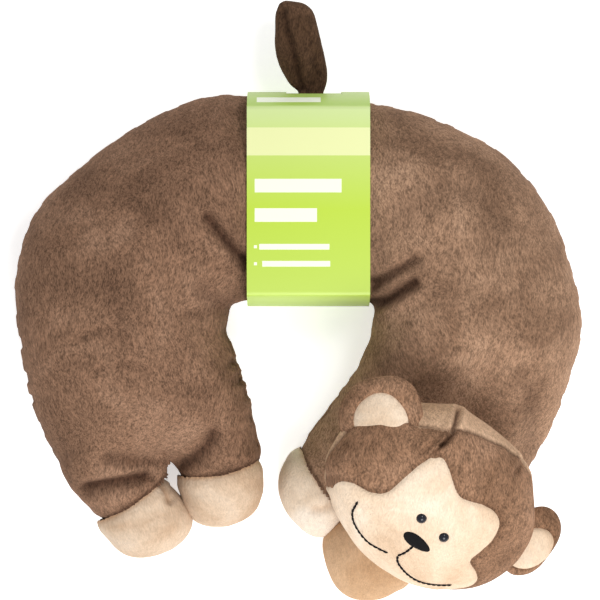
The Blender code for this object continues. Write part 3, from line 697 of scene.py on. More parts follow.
def sew_side_seams(co, no, lines, strength):
    """Inward pull and puckers of the seam round the side of an arm, and the painted shade in its groove and
    pucker valleys.
    """
    shift = np.zeros(len(co))
    fold = np.zeros(len(co))
    side = np.clip(1.0 - no[:, 2] ** 2, 0.0, 1.0) ** 1.2
    pull = strength(co)
    for index, (points, run) in enumerate(lines):
        gap = np.linalg.norm(co[:, None, :2] - points[None, :, :2], axis=2)
        nearest = gap.argmin(axis=1)
        near = np.exp(-(gap.min(axis=1) / 0.018) ** 2)
        drop = co[:, 2] - points[nearest, 2]
        length = run[nearest]
        wander = 0.0040 * np.sin(length * 61.0 + index) + 0.0026 * np.sin(length * 143.0)
        ripple = np.sin((length + wander) * 2.0 * math.pi / 0.0135)
        pinch = np.clip(ripple, -0.35, 1.0) - 0.2
        stitched = np.exp(-(drop / 0.0014) ** 2) * side * near
        rolled = np.exp(-(drop / 0.011) ** 2) * side * near
        shift -= 1.6 * MM * stitched + pull * rolled * 1.1 * MM * pinch
        fold = np.maximum(fold, 0.75 * stitched)
        fold = np.maximum(fold, 0.5 * rolled * np.clip(pinch * pull, 0.0, 1.0))
    return shift, fold


def lumps(co, seed):
    """Slow unevenness of the loose filling."""
    coarse = smooth_noise(co, 26.0, seed)
    fine = smooth_noise(co, 75.0, seed + 5)
    return (1.1 * coarse + 0.35 * fine) * MM


def keep_flat_base(obj):
    """Nothing sinks below the surface the toy lies on."""
    co = coordinates(obj)
    co[:, 2] = np.maximum(co[:, 2], 0.0)
    set_coordinates(obj, co)


# ---------------------------------------------------------------- cutting skins into pieces

def cut_seam(obj, leg):
    """Cut the skin exactly along the bowed paw seam."""
    bm = bmesh.new()
    bm.from_mesh(obj.data)
    co = np.array([v.co[:] for v in bm.verts])
    slide = leg.past_seam(co) - leg.reach(co)
    for vert, amount in zip(bm.verts, slide):
        vert.co.x += leg.along[0] * amount
        vert.co.y += leg.along[1] * amount
    centres = np.array([f.calc_center_median()[:] for f in bm.faces])
    local = leg.mine(centres) & (np.abs(leg.reach(centres)) < 0.01)
    faces = [face for face, inside in zip(bm.faces, local) if inside]
    edges = list({edge for face in faces for edge in face.edges})
    verts = list({vert for face in faces for vert in face.verts})
    bmesh.ops.bisect_plane(
        bm, geom=verts + edges + faces, dist=1e-6,
        plane_co=(leg.middle[0], leg.middle[1], 0.0), plane_no=(leg.along[0], leg.along[1], 0.0))
    moved = np.array([v.co[:] for v in bm.verts])
    aside = (moved[:, :2] - leg.middle) @ leg.across
    for vert, amount in zip(bm.verts, aside):
        back = -leg.bow * (amount ** 2 / 0.02 - 0.01)
        vert.co.x += leg.along[0] * back
        vert.co.y += leg.along[1] * back
    bm.to_mesh(obj.data)
    bm.free()
    obj.data.update()


def press_paw_seam(obj, leg):
    """Groove at a paw seam with painted shade in it, and the fabric swelling on each side of it."""
    co = coordinates(obj)
    past = leg.past_seam(co)
    own = leg.mine(co) & (leg.reach(co) > -0.02)
    aside = (co[:, :2] - leg.middle) @ leg.across
    groove = np.exp(-(past / 0.0014) ** 2)
    swell = 0.8 * np.exp(-((np.abs(past) - 0.0055) / 0.0035) ** 2)
    gathers = 0.22 * np.sin(aside * 2400.0 + 2.0 * np.sin(aside * 700.0)) * np.exp(-(past / 0.005) ** 2)
    push(obj, own * (swell + gathers - 0.9 * groove) * MM)
    # painted shade in the seam groove
    paint_fold_shade(obj, own * groove * 0.8)


def take_faces(obj, name, mask, keep_normals):
    """A new object from the faces in the mask, with the whole skin's shading if asked."""
    mesh = obj.data.copy()
    mesh.name = name
    stored = mesh.attributes.new("whole_normal", "FLOAT_VECTOR", "POINT")
    stored.data.foreach_set("vector", normals(obj).astype(np.float32).ravel())
    bm = bmesh.new()
    bm.from_mesh(mesh)
    dropped = [face for face, keep in zip(bm.faces, mask) if not keep]
    bmesh.ops.delete(bm, geom=dropped, context="FACES")
    bm.to_mesh(mesh)
    bm.free()
    mesh.shade_smooth()
    if keep_normals:
        whole = vectors(mesh.attributes["whole_normal"].data, "vector")
        mesh.normals_split_custom_set_from_vertices(whole.tolist())
    mesh.attributes.remove(mesh.attributes["whole_normal"])
    piece = bpy.data.objects.new(name, mesh)
    bpy.context.scene.collection.objects.link(piece)
    return piece


def finish_piece(piece, material):
    """Material of a finished piece."""
    piece.data.materials.clear()
    piece.data.materials.append(material)


def bend_arm(piece):
    """Bake the arm's placement into its mesh."""
    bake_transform(piece)


def bend_leg(piece):
    """Bake the leg's placement into its mesh."""
    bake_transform(piece)


SEAM_LIP = 1.2 * MM
PAW_FOLDS = {
    "outer_hind": ((((-75.0, -94.0), (-73.5, -101.0), (-70.5, -108.0)), 1.5, 1.8),),
    "inner_front": ((((22.0, -108.0), (14.0, -112.0), (8.0, -113.0)), 1.0, 2.2),),
}
# lit and shaded copies of the cream pile by paw: painted light on the inner front paw, painted shade under
# the head on the outer front paw
PAW_LIGHTING_COPY = {"inner_front": "cream_pale", "outer_front": "cream_warm"}


def make_paw(leg, materials):
    """Paw of one leg: its own stuffed skin, cut at the seam with the leg."""
    forms = [(leg.rows(), leg.pole())]
    skin = padded_skin(leg.name + "_paw_skin", forms, FINE_VOXEL, 3.0, 1.5 * MM, 0.9 * MM)
    co = coordinates(skin)
    shift, fold = press_folds(co, normals(skin), PAW_FOLDS.get(leg.name, ()))
    push(skin, shift + 0.7 * MM * smooth_noise(co, 55.0, 3.0))
    # painted shade in the paw's folds
    paint_fold_shade(skin, fold)
    cut_seam(skin, leg)
    press_paw_seam(skin, leg)
    keep_flat_base(skin)
    paw = take_faces(skin, leg.name + "_paw", leg.past_seam(face_centres(skin)) > 0.0, False)
    # each paw takes a shaded copy of the cream pile, or the lit copy for the inner front paw: painted shade
    # and painted light
    finish_piece(paw, materials[PAW_LIGHTING_COPY.get(leg.name, "cream_paw")])
    bend_leg(paw)
    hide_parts(leg.name + "_paw_cover")
    bpy.data.objects.remove(skin)


def tuck_under_paw(obj, leg):
    """Turn the edge of the cover in under the paw."""
    co = coordinates(obj)
    own = leg.mine(co) & (leg.reach(co) > -0.02)
    push(obj, -2.4 * MM * own * np.clip(leg.past_seam(co) / 0.0010, 0.0, 1.0))


def divide_half(skin, half, legs, material):
    """Arm cover and two leg covers from one sewn skin; only a lip is kept past the paw seams."""
    for leg in legs:
        cut_seam(skin, leg)
        press_paw_seam(skin, leg)
        tuck_under_paw(skin, leg)
    keep_flat_base(skin)
    centres = face_centres(skin)
    past = [leg.mine(centres) & (leg.past_seam(centres) > SEAM_LIP) & (leg.reach(centres) > -0.012)
            for leg in legs]
    brown = take_faces(skin, half + "_brown", ~(past[0] | past[1]), False)
    centres = face_centres(brown)
    ends = [leg.mine(centres) & (leg.reach(centres) > leg.bend_from) for leg in legs]
    for leg, mask in zip(legs, ends):
        cover = take_faces(brown, leg.name + "_leg", mask, True)
        finish_piece(cover, material)
        bend_leg(cover)
        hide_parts(leg.name + "_leg_cover", leg.name + "_leg_fill")
    arm = take_faces(brown, half + "_arm", ~(ends[0] | ends[1]), True)
    finish_piece(arm, material)
    bend_arm(arm)
    bpy.data.objects.remove(brown)
    bpy.data.objects.remove(skin)
    return arm


def tuck_under_card(obj):
    """The card band holds the pillow's top down, and the fabric swells beside it."""
    co = coordinates(obj)
    middle = (SLEEVE_LEFT + SLEEVE_RIGHT) / 2.0 * MM
    outside = np.maximum(np.abs(co[:, 0] - middle) - (SLEEVE_RIGHT - SLEEVE_LEFT) / 2.0 * MM, 0.0)
    ceiling = 0.0716 + 0.9 * np.maximum(outside - 0.0006, 0.0)
    co[:, 2] = np.minimum(co[:, 2], ceiling)
    set_coordinates(obj, co)


HIND_FOLDS = (
    (((-88, 41), (-62, 42), (-50, 38), (-40, 33)), 0.5, 5.0),
    (((-103, -85), (-92, -86), (-80, -87.5)), 1.8, 3.4),
    (((-115, -101.5), (-106, -99.8), (-94, -97.5), (-82, -94.5)), 3.8, 3.2),
    (((-67, -91), (-58, -86), (-50, -79), (-46, -72)), 2.6, 3.6),
    (((-49, 44), (-38, 31), (-28, 19)), 3.4, 2.8),
    (((-100, 9), (-96, -6), (-95, -16)), 0.9, 6.0),
    (((-118, -20), (-104, -16), (-92, -18)), 0.8, 2.4),
    (((-108, -38), (-96, -34), (-82, -36)), 0.7, 2.4),
    (((-52, 6), (-44, 0), (-38, -12)), 1.2, 4.0),
    (((-60, -8), (-48, -6), (-38, -2)), 1.0, 3.0),
)
FRONT_FOLDS = (
    (((38, 9), (48, 14), (61, 22)), 2.2, 2.6),
    (((38, -3), (47, 1), (60, 9)), 4.6, 2.8),
    (((75, 62), (95, 54), (108, 40)), 0.8, 6.0),
    (((118, -40), (126, -62), (124, -78)), 1.0, 6.0),
    (((38, 30), (60, 48), (90, 60)), 0.6, 7.0),
)


def hind_pull(co):
    """The hind half puckers most along its inner edge and low on its outer edge."""
    inner = 1.3 * np.exp(-((co[:, 0] + 0.033) / 0.02) ** 2) * np.exp(-((co[:, 1] + 0.035) / 0.035) ** 2)
    outer = 1.0 * np.exp(-((co[:, 0] + 0.147) / 0.02) ** 2) * np.exp(-((co[:, 1] + 0.035) / 0.03) ** 2)
    return 0.35 + inner + outer


def front_pull(co):
    """The front half puckers a little everywhere."""
    return np.full(len(co), 0.45)


def make_pillow(materials):
    """Both halves of the pillow with their legs."""
    halves = (
        ("hind_half", HIND_ARM, HIND_LEGS, HIND_FOLDS, hind_pull, 9.0 * MM, "brown", -1.0),
        # the front half takes the lighter brown copy: painted light
        ("front_half", FRONT_ARM, FRONT_LEGS, FRONT_FOLDS, front_pull, 0.0, "brown_front", 1.0),
    )
    for seed, (half, rows, legs, folds, pull, raised, cloth, side) in enumerate(halves):
        forms = [(rows, None)] + [(leg.rows(), leg.pole()) for leg in legs]
        skin = padded_skin(half + "_skin", forms, SIM_VOXEL, 4.0, 3.0 * MM, SIM_SHRINK)
        co = coordinates(skin)
        no = normals(skin)
        shift, fold = sew_side_seams(co, no, seam_lines(rows, raised), pull)
        pressed, deep = press_folds(co, no, folds)
        push(skin, shift + pressed + lumps(co, seed + 1.0))
        # painted shade in the seam grooves, puckers and folds of the half
        paint_fold_shade(skin, np.maximum(fold, deep))
        tuck_under_card(skin)
        divide_half(skin, half, legs, materials[cloth])
        for leg in legs:
            make_paw(leg, materials)
    for node in ("top_panel", "bottom_panel", "bead_fill"):
        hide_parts("hind_" + node, "back_" + node)
        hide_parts("front_" + node)


# ---------------------------------------------------------------- head

HEAD_CENTRE = (69.5, -102.2, 80.0)
HEAD_RADII = (60.0, 48.0, 34.0)
HEAD_FRAME = (Matrix.Translation(Vector(HEAD_CENTRE) * MM)
              @ Matrix.Rotation(math.radians(25.0), 4, "X")
              @ Matrix.Rotation(math.radians(-44.0), 4, "Z"))
SEAM_TURNS = (0.0, 25.0, 64.6, 87.4, 110.3, 121.6, 135.0, 180.0, 270.0, 360.0)
SEAM_HEIGHTS = (-3.0, -3.0, 0.0, 7.0, 12.5, 15.5, 15.0, 4.0, -4.0, -3.0)
FACE_OUTLINE = (
    (0, 20.7), (5, 21.9), (13.3, 24.9), (22.1, 25.3), (28.6, 21.8), (32, 13.5), (32, 4), (32.2, -4),
    (39.9, -7.6), (46.4, -12.4), (48, -19), (43, -27.4), (33, -36), (19, -42.8), (2, -44.6), (-12, -45),
    (-26, -43), (-39, -36), (-46.4, -29.2), (-47.8, -22.4), (-43.6, -16.4), (-35, -11.8), (-29.8, -4.6),
    (-29.2, 7.6), (-28.4, 17), (-26, 25.2), (-21.2, 28.6), (-14.4, 26.8), (-5.6, 22.2),
)
FACE_MIDDLE = (0.0, -8.0)
FACE_SKIRT = 0.08           # share of the outline that runs on under the chin to the seam
CHIN_SEAM = -2.4
EYES = ((-7.0, -2.0), (9.4, -2.0))
HEAD_FOLDS = (
    (((73.5, -75.0), (78.8, -69.4), (80.2, -65.4), (82.8, -57.0)), 3.0, 1.3),
    (((69.8, -78.8), (71.5, -77.0), (74.5, -74.0)), 2.0, 0.9),
    (((62.5, -79.5), (68.0, -75.0), (74.0, -69.8), (78.5, -68.5)), 1.0, 1.2),
    (((113.0, -90.0), (117.5, -84.0)), 1.2, 1.4),
)
HEAD_BULGES = (
    (117, -84, 2.6, 16), (64, -56, -3.2, 13), (14, -90, 2.2, 13), (84, -55, 1.4, 6),
)


def seam_height(x, y):
    """Height of the seam between the head's panels, by the turn round the head."""
    turn = np.degrees(np.arctan2(y / HEAD_RADII[1], x / HEAD_RADII[0])) % 360.0
    return np.interp(turn, SEAM_TURNS, SEAM_HEIGHTS)


def make_head_skin():
    """Closed skin of the head in its own frame, seam pressed in and muzzle swollen, with painted shade in
    the seam and round the face's edge.
    """
    bm = bmesh.new()
    bmesh.ops.create_uvsphere(bm, u_segments=48, v_segments=32, radius=1.0)
    for vert in bm.verts:
        vert.co = vert.co * Vector(HEAD_RADII) * MM
    skin = fuse("head_skin", [new_object("head_ball", bm)], FINE_VOXEL)
    plump(skin, 2.0, 1.2 * MM)
    subdivide(skin)
    push(skin, 0.5 * MM)
    cut_head_seam(skin)
    co = coordinates(skin)
    x, y, z = (co / MM).T
    drop = z - seam_height(x, y)
    around = np.clip(1.25 - np.abs(z) / 28.0, 0.0, 1.0)
    seam = np.exp(-(drop / 1.1) ** 2) * around
    shift = -1.5 * seam
    muzzle = np.exp(-(x / 33.0) ** 2 - ((y + 25.0) / 17.0) ** 2)
    brow = np.exp(-(x / 26.0) ** 2 - ((y + 1.0) / 6.0) ** 2)
    shift += (z > 0.0) * (2.6 * muzzle - 1.0 * brow)
    turn = np.arctan2(y, x)
    shift += 0.5 * np.sin(turn * 17.0 + 2.0 * np.sin(turn * 5.0)) * np.exp(-(drop / 7.0) ** 2) * around
    shift += 0.8 * smooth_noise(co, 30.0, 9.0)
    placed = co @ np.array(HEAD_FRAME.to_3x3()).T + np.array(HEAD_FRAME.translation)
    for wide, high, amount, radius in HEAD_BULGES:
        away = np.hypot(placed[:, 0] - wide * MM, placed[:, 1] - high * MM) / (radius * MM)
        shift += amount * np.exp(-away ** 2)
    edge = polyline_distance(co[:, :2], face_outline(FACE_OUTLINE, 6) * MM)
    sewn = (z > 0.0) * np.exp(-(edge / (1.6 * MM)) ** 2)
    push(skin, (shift - 0.9 * sewn) * MM)
    # painted shade in the panel seam and along the sewn edge of the face
    paint_fold_shade(skin, np.maximum(0.8 * seam, 0.35 * sewn))
    return skin


def cut_head_seam(skin):
    """Cut the skin exactly along the seam between the head's two panels."""
    bm = bmesh.new()
    bm.from_mesh(skin.data)
    for vert in bm.verts:
        vert.co.z -= seam_height(vert.co.x / MM, vert.co.y / MM) * MM
    geometry = bm.verts[:] + bm.edges[:] + bm.faces[:]
    bmesh.ops.bisect_plane(bm, geom=geometry, dist=1e-6, plane_co=(0.0, 0.0, 0.0), plane_no=(0.0, 0.0, 1.0))
    for vert in bm.verts:
        vert.co.z += seam_height(vert.co.x / MM, vert.co.y / MM) * MM
    bm.to_mesh(skin.data)
    bm.free()
    skin.data.update()


def face_outline(points, steps):
    """Smooth closed outline through the points, in mm."""
    loop = list(points) + [points[0]]
    smooth = catmull_rom([points[-1]] + loop + [points[1]], steps)
    return smooth[steps:-steps]


def height_finder(skin):
    """A function giving the height and normal of the skin over a place in the head's frame."""
    tree = BVHTree.FromObject(skin, bpy.context.evaluated_depsgraph_get())

    def find(x, y, down=0.0):
        hit = tree.ray_cast(Vector((x * MM, y * MM, 0.2)), Vector((0.0, 0.0, -1.0)))
        if hit[0] is None:
            hit = tree.find_nearest(Vector((x * MM, y * MM, 0.0)))
        if down > 0.0:
            drop = down * (hit[0].z - CHIN_SEAM * MM)
            hit = tree.find_nearest(hit[0] - Vector((0.0, 0.0, drop)))
        return hit[0], hit[1]
    return find


def polar_patch(name, outline, middle, shares, lift):
    """Mesh in rings from a middle point out to a closed outline; lift places each point."""
    bm = bmesh.new()
    tip = bm.verts.new(lift(middle[0], middle[1], 0.0))
    last = None
    for share in shares:
        ring = []
        for x, y in outline:
            ring.append(bm.verts.new(lift(
                middle[0] + (x - middle[0]) * share, middle[1] + (y - middle[1]) * share, share)))
        if last is None:
            for i in range(len(ring)):
                bm.faces.new((tip, ring[i], ring[(i + 1) % len(ring)]))
        else:
            bridge(bm, last, ring)
        last = ring
    return smooth_object(name, bm)


def make_face(find, materials):
    """Pale face, sewn in with a rolled edge and pressed in under the eyes."""
    outline = face_outline(FACE_OUTLINE, 8)[:-1]

    def lift(x, y, share):
        past = max(share - 1.0, 0.0)
        if past > 0.0:
            x = FACE_MIDDLE[0] + (x - FACE_MIDDLE[0]) / share
            y = FACE_MIDDLE[1] + (y - FACE_MIDDLE[1]) / share
        chin = min(max((-29.0 - y) / 4.0, 0.0), 1.0)
        point, normal = find(x, y, chin * min(past / FACE_SKIRT, 1.0))
        tucked = 0.9 * (1.0 - share ** 9) - 0.5 * share ** 30 - 60.0 * past
        sewn = 0.8 - 1.2 * (past / FACE_SKIRT) ** 6
        near_edge = chin * min(max((share - 0.85) / 0.1, 0.0), 1.0)
        over = tucked * (1.0 - near_edge) + sewn * near_edge
        for eye in EYES:
            far = ((x - eye[0]) ** 2 + (y - eye[1]) ** 2) / 3.6 ** 2
            over -= 0.9 * math.exp(-far)
        return point + normal * over * MM
    shares = [i / 44.0 for i in range(1, 42)] + [0.95, 0.965, 0.98, 0.99, 1.0]
    shares += [1.0 + FACE_SKIRT * i / 8.0 for i in range(1, 9)]
    face = polar_patch("face", outline[::-1], FACE_MIDDLE, shares, lift)
    finish_piece(face, materials["cream"])
    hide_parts("face_patch")
    return face


def make_eye(name, place, find, materials):
    """Glossy domed eye with a thin flange, turned about its own axis."""
    profile = ((0.0, 2.15), (0.7, 2.07), (1.4, 1.83), (2.0, 1.42), (2.45, 0.9), (2.7, 0.3), (2.85, 0.1),
               (2.9, -0.15), (2.6, -0.5), (0.8, -0.6), (0.8, -2.5), (0.0, -2.6))
    point, normal = find(*place)
    turn = normal.to_track_quat("Z", "Y").to_matrix().to_4x4()
    bm = bmesh.new()
    rings = []
    for radius, height in profile:
        count = 1 if radius == 0.0 else 40
        ring = []
        for i in range(count):
            angle = 2.0 * math.pi * i / count
            local = Vector((radius * math.cos(angle), radius * math.sin(angle), height)) * MM
            ring.append(bm.verts.new(point + turn @ local + normal * 0.2 * MM))
        rings.append(ring)
    for upper, lower in zip(rings, rings[1:]):
        for i in range(40):
            j = (i + 1) % 40
            above = [upper[i % len(upper)], upper[j % len(upper)]]
            below = [lower[i % len(lower)], lower[j % len(lower)]]
            corners = [above[0], below[0], below[1], above[1]]
            bm.faces.new(list(dict.fromkeys(corners)))
    eye = smooth_object(name, bm)
    finish_piece(eye, materials["eye"])
    return eye


def make_nose(find, materials):
    """Satin-stitched nose: a raised oval of close parallel threads."""
    outline = []
    for i in range(96):
        angle = 2.0 * math.pi * i / 96
        taper = 1.0 - 0.22 * math.cos(angle)
        x = 0.6 + 8.5 * math.cos(angle)
        y = -13.0 + 3.45 * taper * math.sin(angle) + 0.07 * (x - 0.6)
        outline.append((x, y))

    def lift(x, y, share):
        point, normal = find(x, y)
        over = 1.0 + 1.1 * math.sqrt(max(1.0 - share ** 2.4, 0.0))
        over += 0.07 * math.sin(x * 2.0 * math.pi / 0.55)
        if share >= 1.0:
            over = 0.3
        return point + normal * over * MM
    shares = [i / 16.0 for i in range(1, 16)] + [0.97, 1.0]
    nose = polar_patch("nose", outline, (0.6, -13.0), shares, lift)
    finish_piece(nose, materials["thread"])
    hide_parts("nose_embroidery")
    return nose


THREAD_SIDES = 8
THREAD_STEP = 0.3           # mm between rings of the thread
STITCH = 2.7                # mm a stitch is long


def stitch_line(name, points, find, materials, node):
    """A line of backstitches: a thread that swells and dips once a stitch."""
    path = catmull_rom(points, 24)
    steps = np.linalg.norm(np.diff(path, axis=0), axis=1)
    run = np.concatenate(([0.0], np.cumsum(steps)))
    count = int(run[-1] / THREAD_STEP)
    at = np.linspace(0.0, run[-1], count)
    xs = np.interp(at, run, path[:, 0])
    ys = np.interp(at, run, path[:, 1])
    bm = bmesh.new()
    last = None
    for i in range(count):
        point, normal = find(xs[i], ys[i])
        a = max(i - 1, 0)
        b = min(i + 1, count - 1)
        ahead = find(xs[b], ys[b])[0] - find(xs[a], ys[a])[0]
        side = normal.cross(ahead).normalized()
        stitch = abs(math.sin(math.pi * at[i] / STITCH)) ** 0.45
        ends = min(1.0, at[i] / 0.8, (run[-1] - at[i]) / 0.8)
        radius = (0.34 + 0.32 * stitch) * math.sqrt(max(ends, 0.02)) * MM
        centre = point + normal * (0.75 + 0.3 * stitch) * MM
        ring = []
        for angle in np.linspace(0.0, 2.0 * math.pi, THREAD_SIDES, endpoint=False):
            spoke = side * math.cos(angle) + normal * math.sin(angle)
            ring.append(bm.verts.new(centre + spoke * radius))
        if last is not None:
            bridge(bm, last, ring)
        if last is None or i == count - 1:
            bm.faces.new(ring)
        last = ring
    line = smooth_object(name, bm)
    finish_piece(line, materials["thread"])
    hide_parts(node)
    return line


LEFT_SMILE = (
    (-34.4, -20.4), (-33.2, -23.4), (-31.2, -27.4), (-27, -31), (-21, -33.2), (-14, -33.8),
    (-8.5, -31.8), (-3.7, -29.4),
)
RIGHT_SMILE = (
    (0.4, -26.4), (2.4, -28.8), (6.2, -30.8), (13.7, -32.4), (21.2, -32), (28.4, -28.4), (35.6, -22),
)
MOUTH_LINE = ((0.8, -16.0), (1.0, -19.5), (0.9, -23.0), (0.2, -26.4))


def make_head(materials):
    """Head panels, face, eyes, nose and mouth."""
    skin = make_head_skin()
    find = height_finder(skin)
    parts = [make_face(find, materials)]
    for name, place in zip(("left_eye", "right_eye"), EYES):
        eye = make_eye(name + "_dome", place, find, materials)
        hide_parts(name)
        parts.append(eye)
    parts.append(make_nose(find, materials))
    parts.append(stitch_line("left_smile_stitches", LEFT_SMILE, find, materials, "left_smile"))
    parts.append(stitch_line("right_smile_stitches", RIGHT_SMILE, find, materials, "right_smile"))
    parts.append(stitch_line("mouth_stitches", MOUTH_LINE, find, materials, "mouth_line"))
    centres = face_centres(skin) / MM
    front = centres[:, 2] > seam_height(centres[:, 0], centres[:, 1])
    skin.data.transform(HEAD_FRAME)
    shift, fold = press_folds(coordinates(skin), normals(skin), HEAD_FOLDS, 0.07)
    push(skin, shift)
    # painted shade in the head's folds
    paint_fold_shade(skin, fold)
    face_side = take_faces(skin, "head_front", front, False)
    back_side = take_faces(skin, "head_back", ~front, False)
    # lighter copies of the brown pile: painted light on the head's front, and more on the crown's back panel
    finish_piece(face_side, materials["brown_head"])
    finish_piece(back_side, materials["brown_back"])
    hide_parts("head_front_panel", "head_fibre_fill")
    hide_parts("head_back_panel")
    for part in parts:
        part.data.transform(HEAD_FRAME)
        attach(part, "head")
    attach(face_side, "head")
    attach(back_side, "head")
    bpy.data.objects.remove(skin)


# ---------------------------------------------------------------- ears

LEFT_EAR = (
    (-14, 13, 20.5), (8, 14.2, 22), (32, 15.2, 24.4), (54, 16.3, 28.2), (74, 18.2, 28.6),
    (95, 18.9, 26.9), (118, 17.6, 26.6), (140, 16.6, 25.2), (160, 15.2, 23.3), (188, 13, 20.6),
)
RIGHT_EAR = (
    (-146, 9, 12.4), (-126, 10, 14.2), (-106, 10.6, 15), (-88, 11, 14.6), (-53, 12.4, 14.4),
    (-30, 14, 14.8), (-14, 15.4, 16), (2, 17.6, 18.8), (14, 18.6, 22), (24, 18, 24.4), (36, 16.4, 26.2),
    (50, 13.2, 26.8), (64, 11.2, 24.6), (78, 10, 20), (96, 9, 16), (112, 8.5, 13),
)


def rounded(values):
    """Values averaged with three neighbours on each side."""
    return np.convolve(np.pad(values, 3, "edge"), np.ones(7) / 7.0, "valid")


def ear_sheet(name, table, frame, shape, materials):
    """Rim, inner and back of an ear as rings between its two radii."""
    table = np.array(table)
    turns = np.linspace(table[0, 0], table[-1, 0], 90)
    inner_radius, rim_radius = [rounded(np.interp(turns, table[:, 0], table[:, i])) for i in (1, 2)]

    def sheet(piece, rows):
        bm = bmesh.new()
        last = None
        for row in rows:
            line = []
            for turn, small, large in zip(np.radians(turns), inner_radius, rim_radius):
                radius, height = row(small, large)
                x = radius * math.cos(turn)
                y = radius * math.sin(turn)
                line.append(bm.verts.new(frame @ (Vector((x, y, height + shape(x, y))) * MM)))
            if last is not None:
                bridge(bm, last, line, closed=False)
            last = line
        bmesh.ops.remove_doubles(bm, verts=bm.verts, dist=0.00001)
        return smooth_object(piece, bm)

    def inner_row(share):
        rise = 0.4 - 0.9 * share ** 12 + 0.6 * math.sin(math.pi * min(share, 1.0))
        return lambda small, large: (small * share, rise)

    def rim_row(share):
        puff = math.sin(math.pi * min(max(share, 0.0), 1.0)) ** 0.6

        def row(small, large):
            wide = min((large - small) / 5.0, 1.0)
            return small + (large - small) * share, -0.6 + 2.3 * puff * wide - 1.6 * share
        return row

    def back_row(share):
        return lambda small, large: (large * share, -2.2 - 2.6 * math.sqrt(max(1.0 - share ** 2, 0.0)))

    inner = sheet(name + "_inner_cloth", [inner_row(s) for s in np.linspace(0.0, 1.02, 26)])
    rim = sheet(name + "_rim_cloth", [rim_row(s) for s in np.linspace(0.0, 1.0, 18)])
    back = sheet(name + "_back_cloth", [back_row(s) for s in np.linspace(1.0, 0.0, 20)])
    finish_piece(inner, materials["cream"])
    # the rim and back take the head's lighter brown copy: painted light
    finish_piece(rim, materials["brown_head"])
    finish_piece(back, materials["brown_head"])
    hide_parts(name + "_inner")
    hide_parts(name + "_front_rim")
    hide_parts(name + "_back")
    for piece in (inner, rim, back):
        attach(piece, name)


def make_ears(materials):
    """The left ear stands up from the crown; the right ear leans back beside the head."""
    left = Matrix.Translation(Vector((42.3, -67.0, 111.6)) * MM)
    right = Matrix.Translation(Vector((117.5, -131.8, 67.0)) * MM)

    def left_shape(x, y):
        tucked = max(2.0 - y, 0.0) ** 1.5
        return 0.30 * x - 0.018 * x * x - 0.12 * max(y, 0.0) - 0.30 * tucked

    def right_shape(x, y):
        return -0.30 * x - 0.10 * y - 0.003 * (x - y) ** 2

    ear_sheet("left_ear", LEFT_EAR, left, left_shape, materials)
    ear_sheet("right_ear", RIGHT_EAR, right, right_shape, materials)


# ---------------------------------------------------------------- neck, tail and sleeve

NECK_MIDDLE = (0.070, -0.094)
NECK_BASE = 0.036
NECK_HEIGHT = 0.009
NECK_POINTS = 96
NECK_ROWS = 12


def make_neck(materials):
    """Gathered tuft between pillow and head."""
    bm = bmesh.new()
    last = None
    for i in range(NECK_ROWS + 1):
        share = i / NECK_ROWS
        ring = []
        for turn in np.linspace(0.0, 2.0 * math.pi, NECK_POINTS, endpoint=False):
            waist = 8.0 - 2.0 * math.sin(math.pi * share)
            pleat = 0.5 * math.cos(14.0 * turn + 0.6 * math.sin(3.0 * turn))
            radius = (waist + pleat) * MM
            x = NECK_MIDDLE[0] + radius * math.cos(turn)
            y = NECK_MIDDLE[1] + radius * math.sin(turn)
            ring.append(bm.verts.new((x, y, NECK_BASE + NECK_HEIGHT * share)))
        if last is not None:
            bridge(bm, last, ring)
        last = ring
    neck = new_object("neck_tuft", bm)
    neck.data.shade_smooth()
    finish_piece(neck, materials["brown"])
    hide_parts("neck_gather")
    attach(neck, "neck")


TAIL_ROWS = (
    (-0.5, 106, 11.5, 106, 34, 39, 29), (-0.8, 112.5, 12.6, 112, 34, 39.8, 28.2),
    (-5.4, 116.5, 14.2, 116, 34, 40.6, 27.4), (-9, 121.8, 14.8, 121.5, 34, 41, 27),
    (-12.6, 130, 13.9, 130, 34, 41.4, 26.6), (-14, 138.5, 12.2, 138, 34, 41.4, 26.6),
    (-13.5, 148, 9.8, 147.5, 34, 41, 27), (-13, 155.8, 7.8, 155.2, 34, 40.2, 27.8),
    (-11.6, 159.8, 5.4, 158.6, 34, 38.8, 29.2), (-9, 162, 1.6, 161.2, 34, 36.6, 31.4),
)


def make_tail(materials):
    """Flat stuffed tail with a fold along its length and painted shade in its folds."""
    tail = fuse("tail_skin", [padded_loft("tail_form", TAIL_ROWS)], 1.6 * MM)
    plump(tail, 2.0, 0.8 * MM)
    subdivide(tail)
    co = coordinates(tail)
    no = normals(tail)
    long_fold = ((-9.2, 156.0), (-7.2, 146.0), (-4.2, 136.0), (-1.8, 126.0), (1.0, 114.0))
    shift, fold = crease(co, no, long_fold, 1.8, 2.0)
    pressed, deep = crease(co, no, ((4.0, 113.0), (9.0, 122.0), (8.6, 132.0)), 0.8, 2.2)
    shift += pressed + 0.4 * MM * smooth_noise(co, 90.0, 4.0)
    push(tail, shift)
    # painted shade in the tail's folds
    paint_fold_shade(tail, np.maximum(fold, deep))
    tail.data.shade_smooth()
    # darker copy of the brown pile: painted shade on the tail
    finish_piece(tail, materials["brown_tail"])
    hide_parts("tail_cover", "tail_fill")
    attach(tail, "tail")


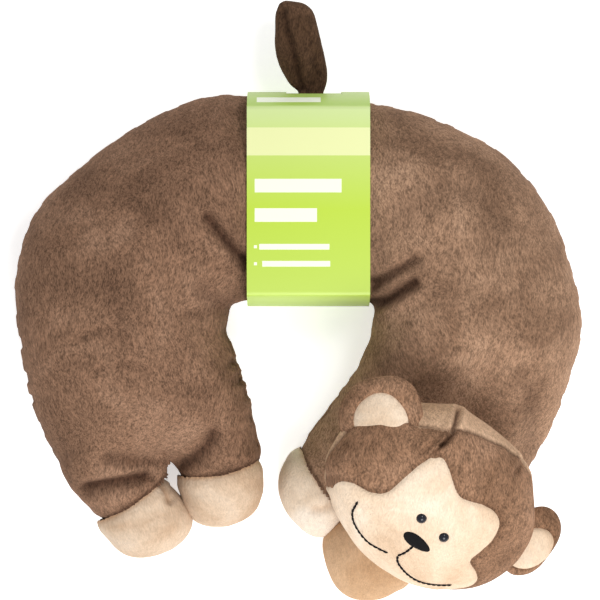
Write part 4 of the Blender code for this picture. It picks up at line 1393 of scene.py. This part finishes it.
SLEEVE_LOOP = (
    (52, 73.4), (86, 73.3), (99, 73), (102.2, 72.6), (103.6, 71.2), (107.4, 62), (110.8, 48),
    (112.6, 32), (112, 15), (109, 4), (102, 0.4), (55, 0.1), (8, 0.4), (0, 4), (-3, 16), (-3.4, 32),
    (-2.8, 48), (0.2, 64), (2, 71), (3.2, 72.5), (6.4, 73), (20, 73.3),
)
SLEEVE_LEFT = -28.2
SLEEVE_RIGHT = 37.2


def make_sleeve(materials):
    """Folded card band with creases along its edges and a slot for the tail."""
    loop = face_outline(SLEEVE_LOOP, 6)[:-1]
    bm = bmesh.new()
    last = None
    columns = 44
    for i in range(columns + 1):
        share = i / columns
        x = SLEEVE_LEFT + (SLEEVE_RIGHT - SLEEVE_LEFT) * share
        ring = []
        for y, z in loop:
            bow = 0.5 * math.sin(math.pi * share) * (z > 60.0)
            ring.append(bm.verts.new(Vector((x, y, z + bow)) * MM))
        if last is not None:
            for j in range(len(loop)):
                k = (j + 1) % len(loop)
                y = (loop[j][0] + loop[k][0]) / 2.0
                z = (loop[j][1] + loop[k][1]) / 2.0
                slot = y > 90.0 and 20.0 < z < 48.0 and -8.0 < x - 0.75 < 23.0
                if not slot:
                    bm.faces.new((last[j], last[k], ring[k], ring[j]))
        last = ring
    bmesh.ops.recalc_face_normals(bm, faces=bm.faces)
    sleeve = new_object("sleeve_band", bm)
    thick = sleeve.modifiers.new("card", "SOLIDIFY")
    thick.thickness = 0.45 * MM
    thick.offset = -1.0
    apply_modifiers(sleeve)
    sleeve.data.shade_smooth()
    sleeve.data.set_sharp_from_angle(angle=math.radians(28.0))
    finish_piece(sleeve, materials["card"])
    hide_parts("card_sleeve")
    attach(sleeve, "sleeve")


def main():
    """Make the whole scene."""
    make_camera()
    make_studio()
    materials = make_materials()
    make_pillow(materials)
    make_head(materials)
    make_ears(materials)
    make_neck(materials)
    make_tail(materials)
    make_sleeve(materials)
    for node in ("left_eye_washer", "right_eye_washer"):
        washer = frame["nodes"][node]
        washer.data.materials.clear()
        washer.data.materials.append(materials["washer"])


main()
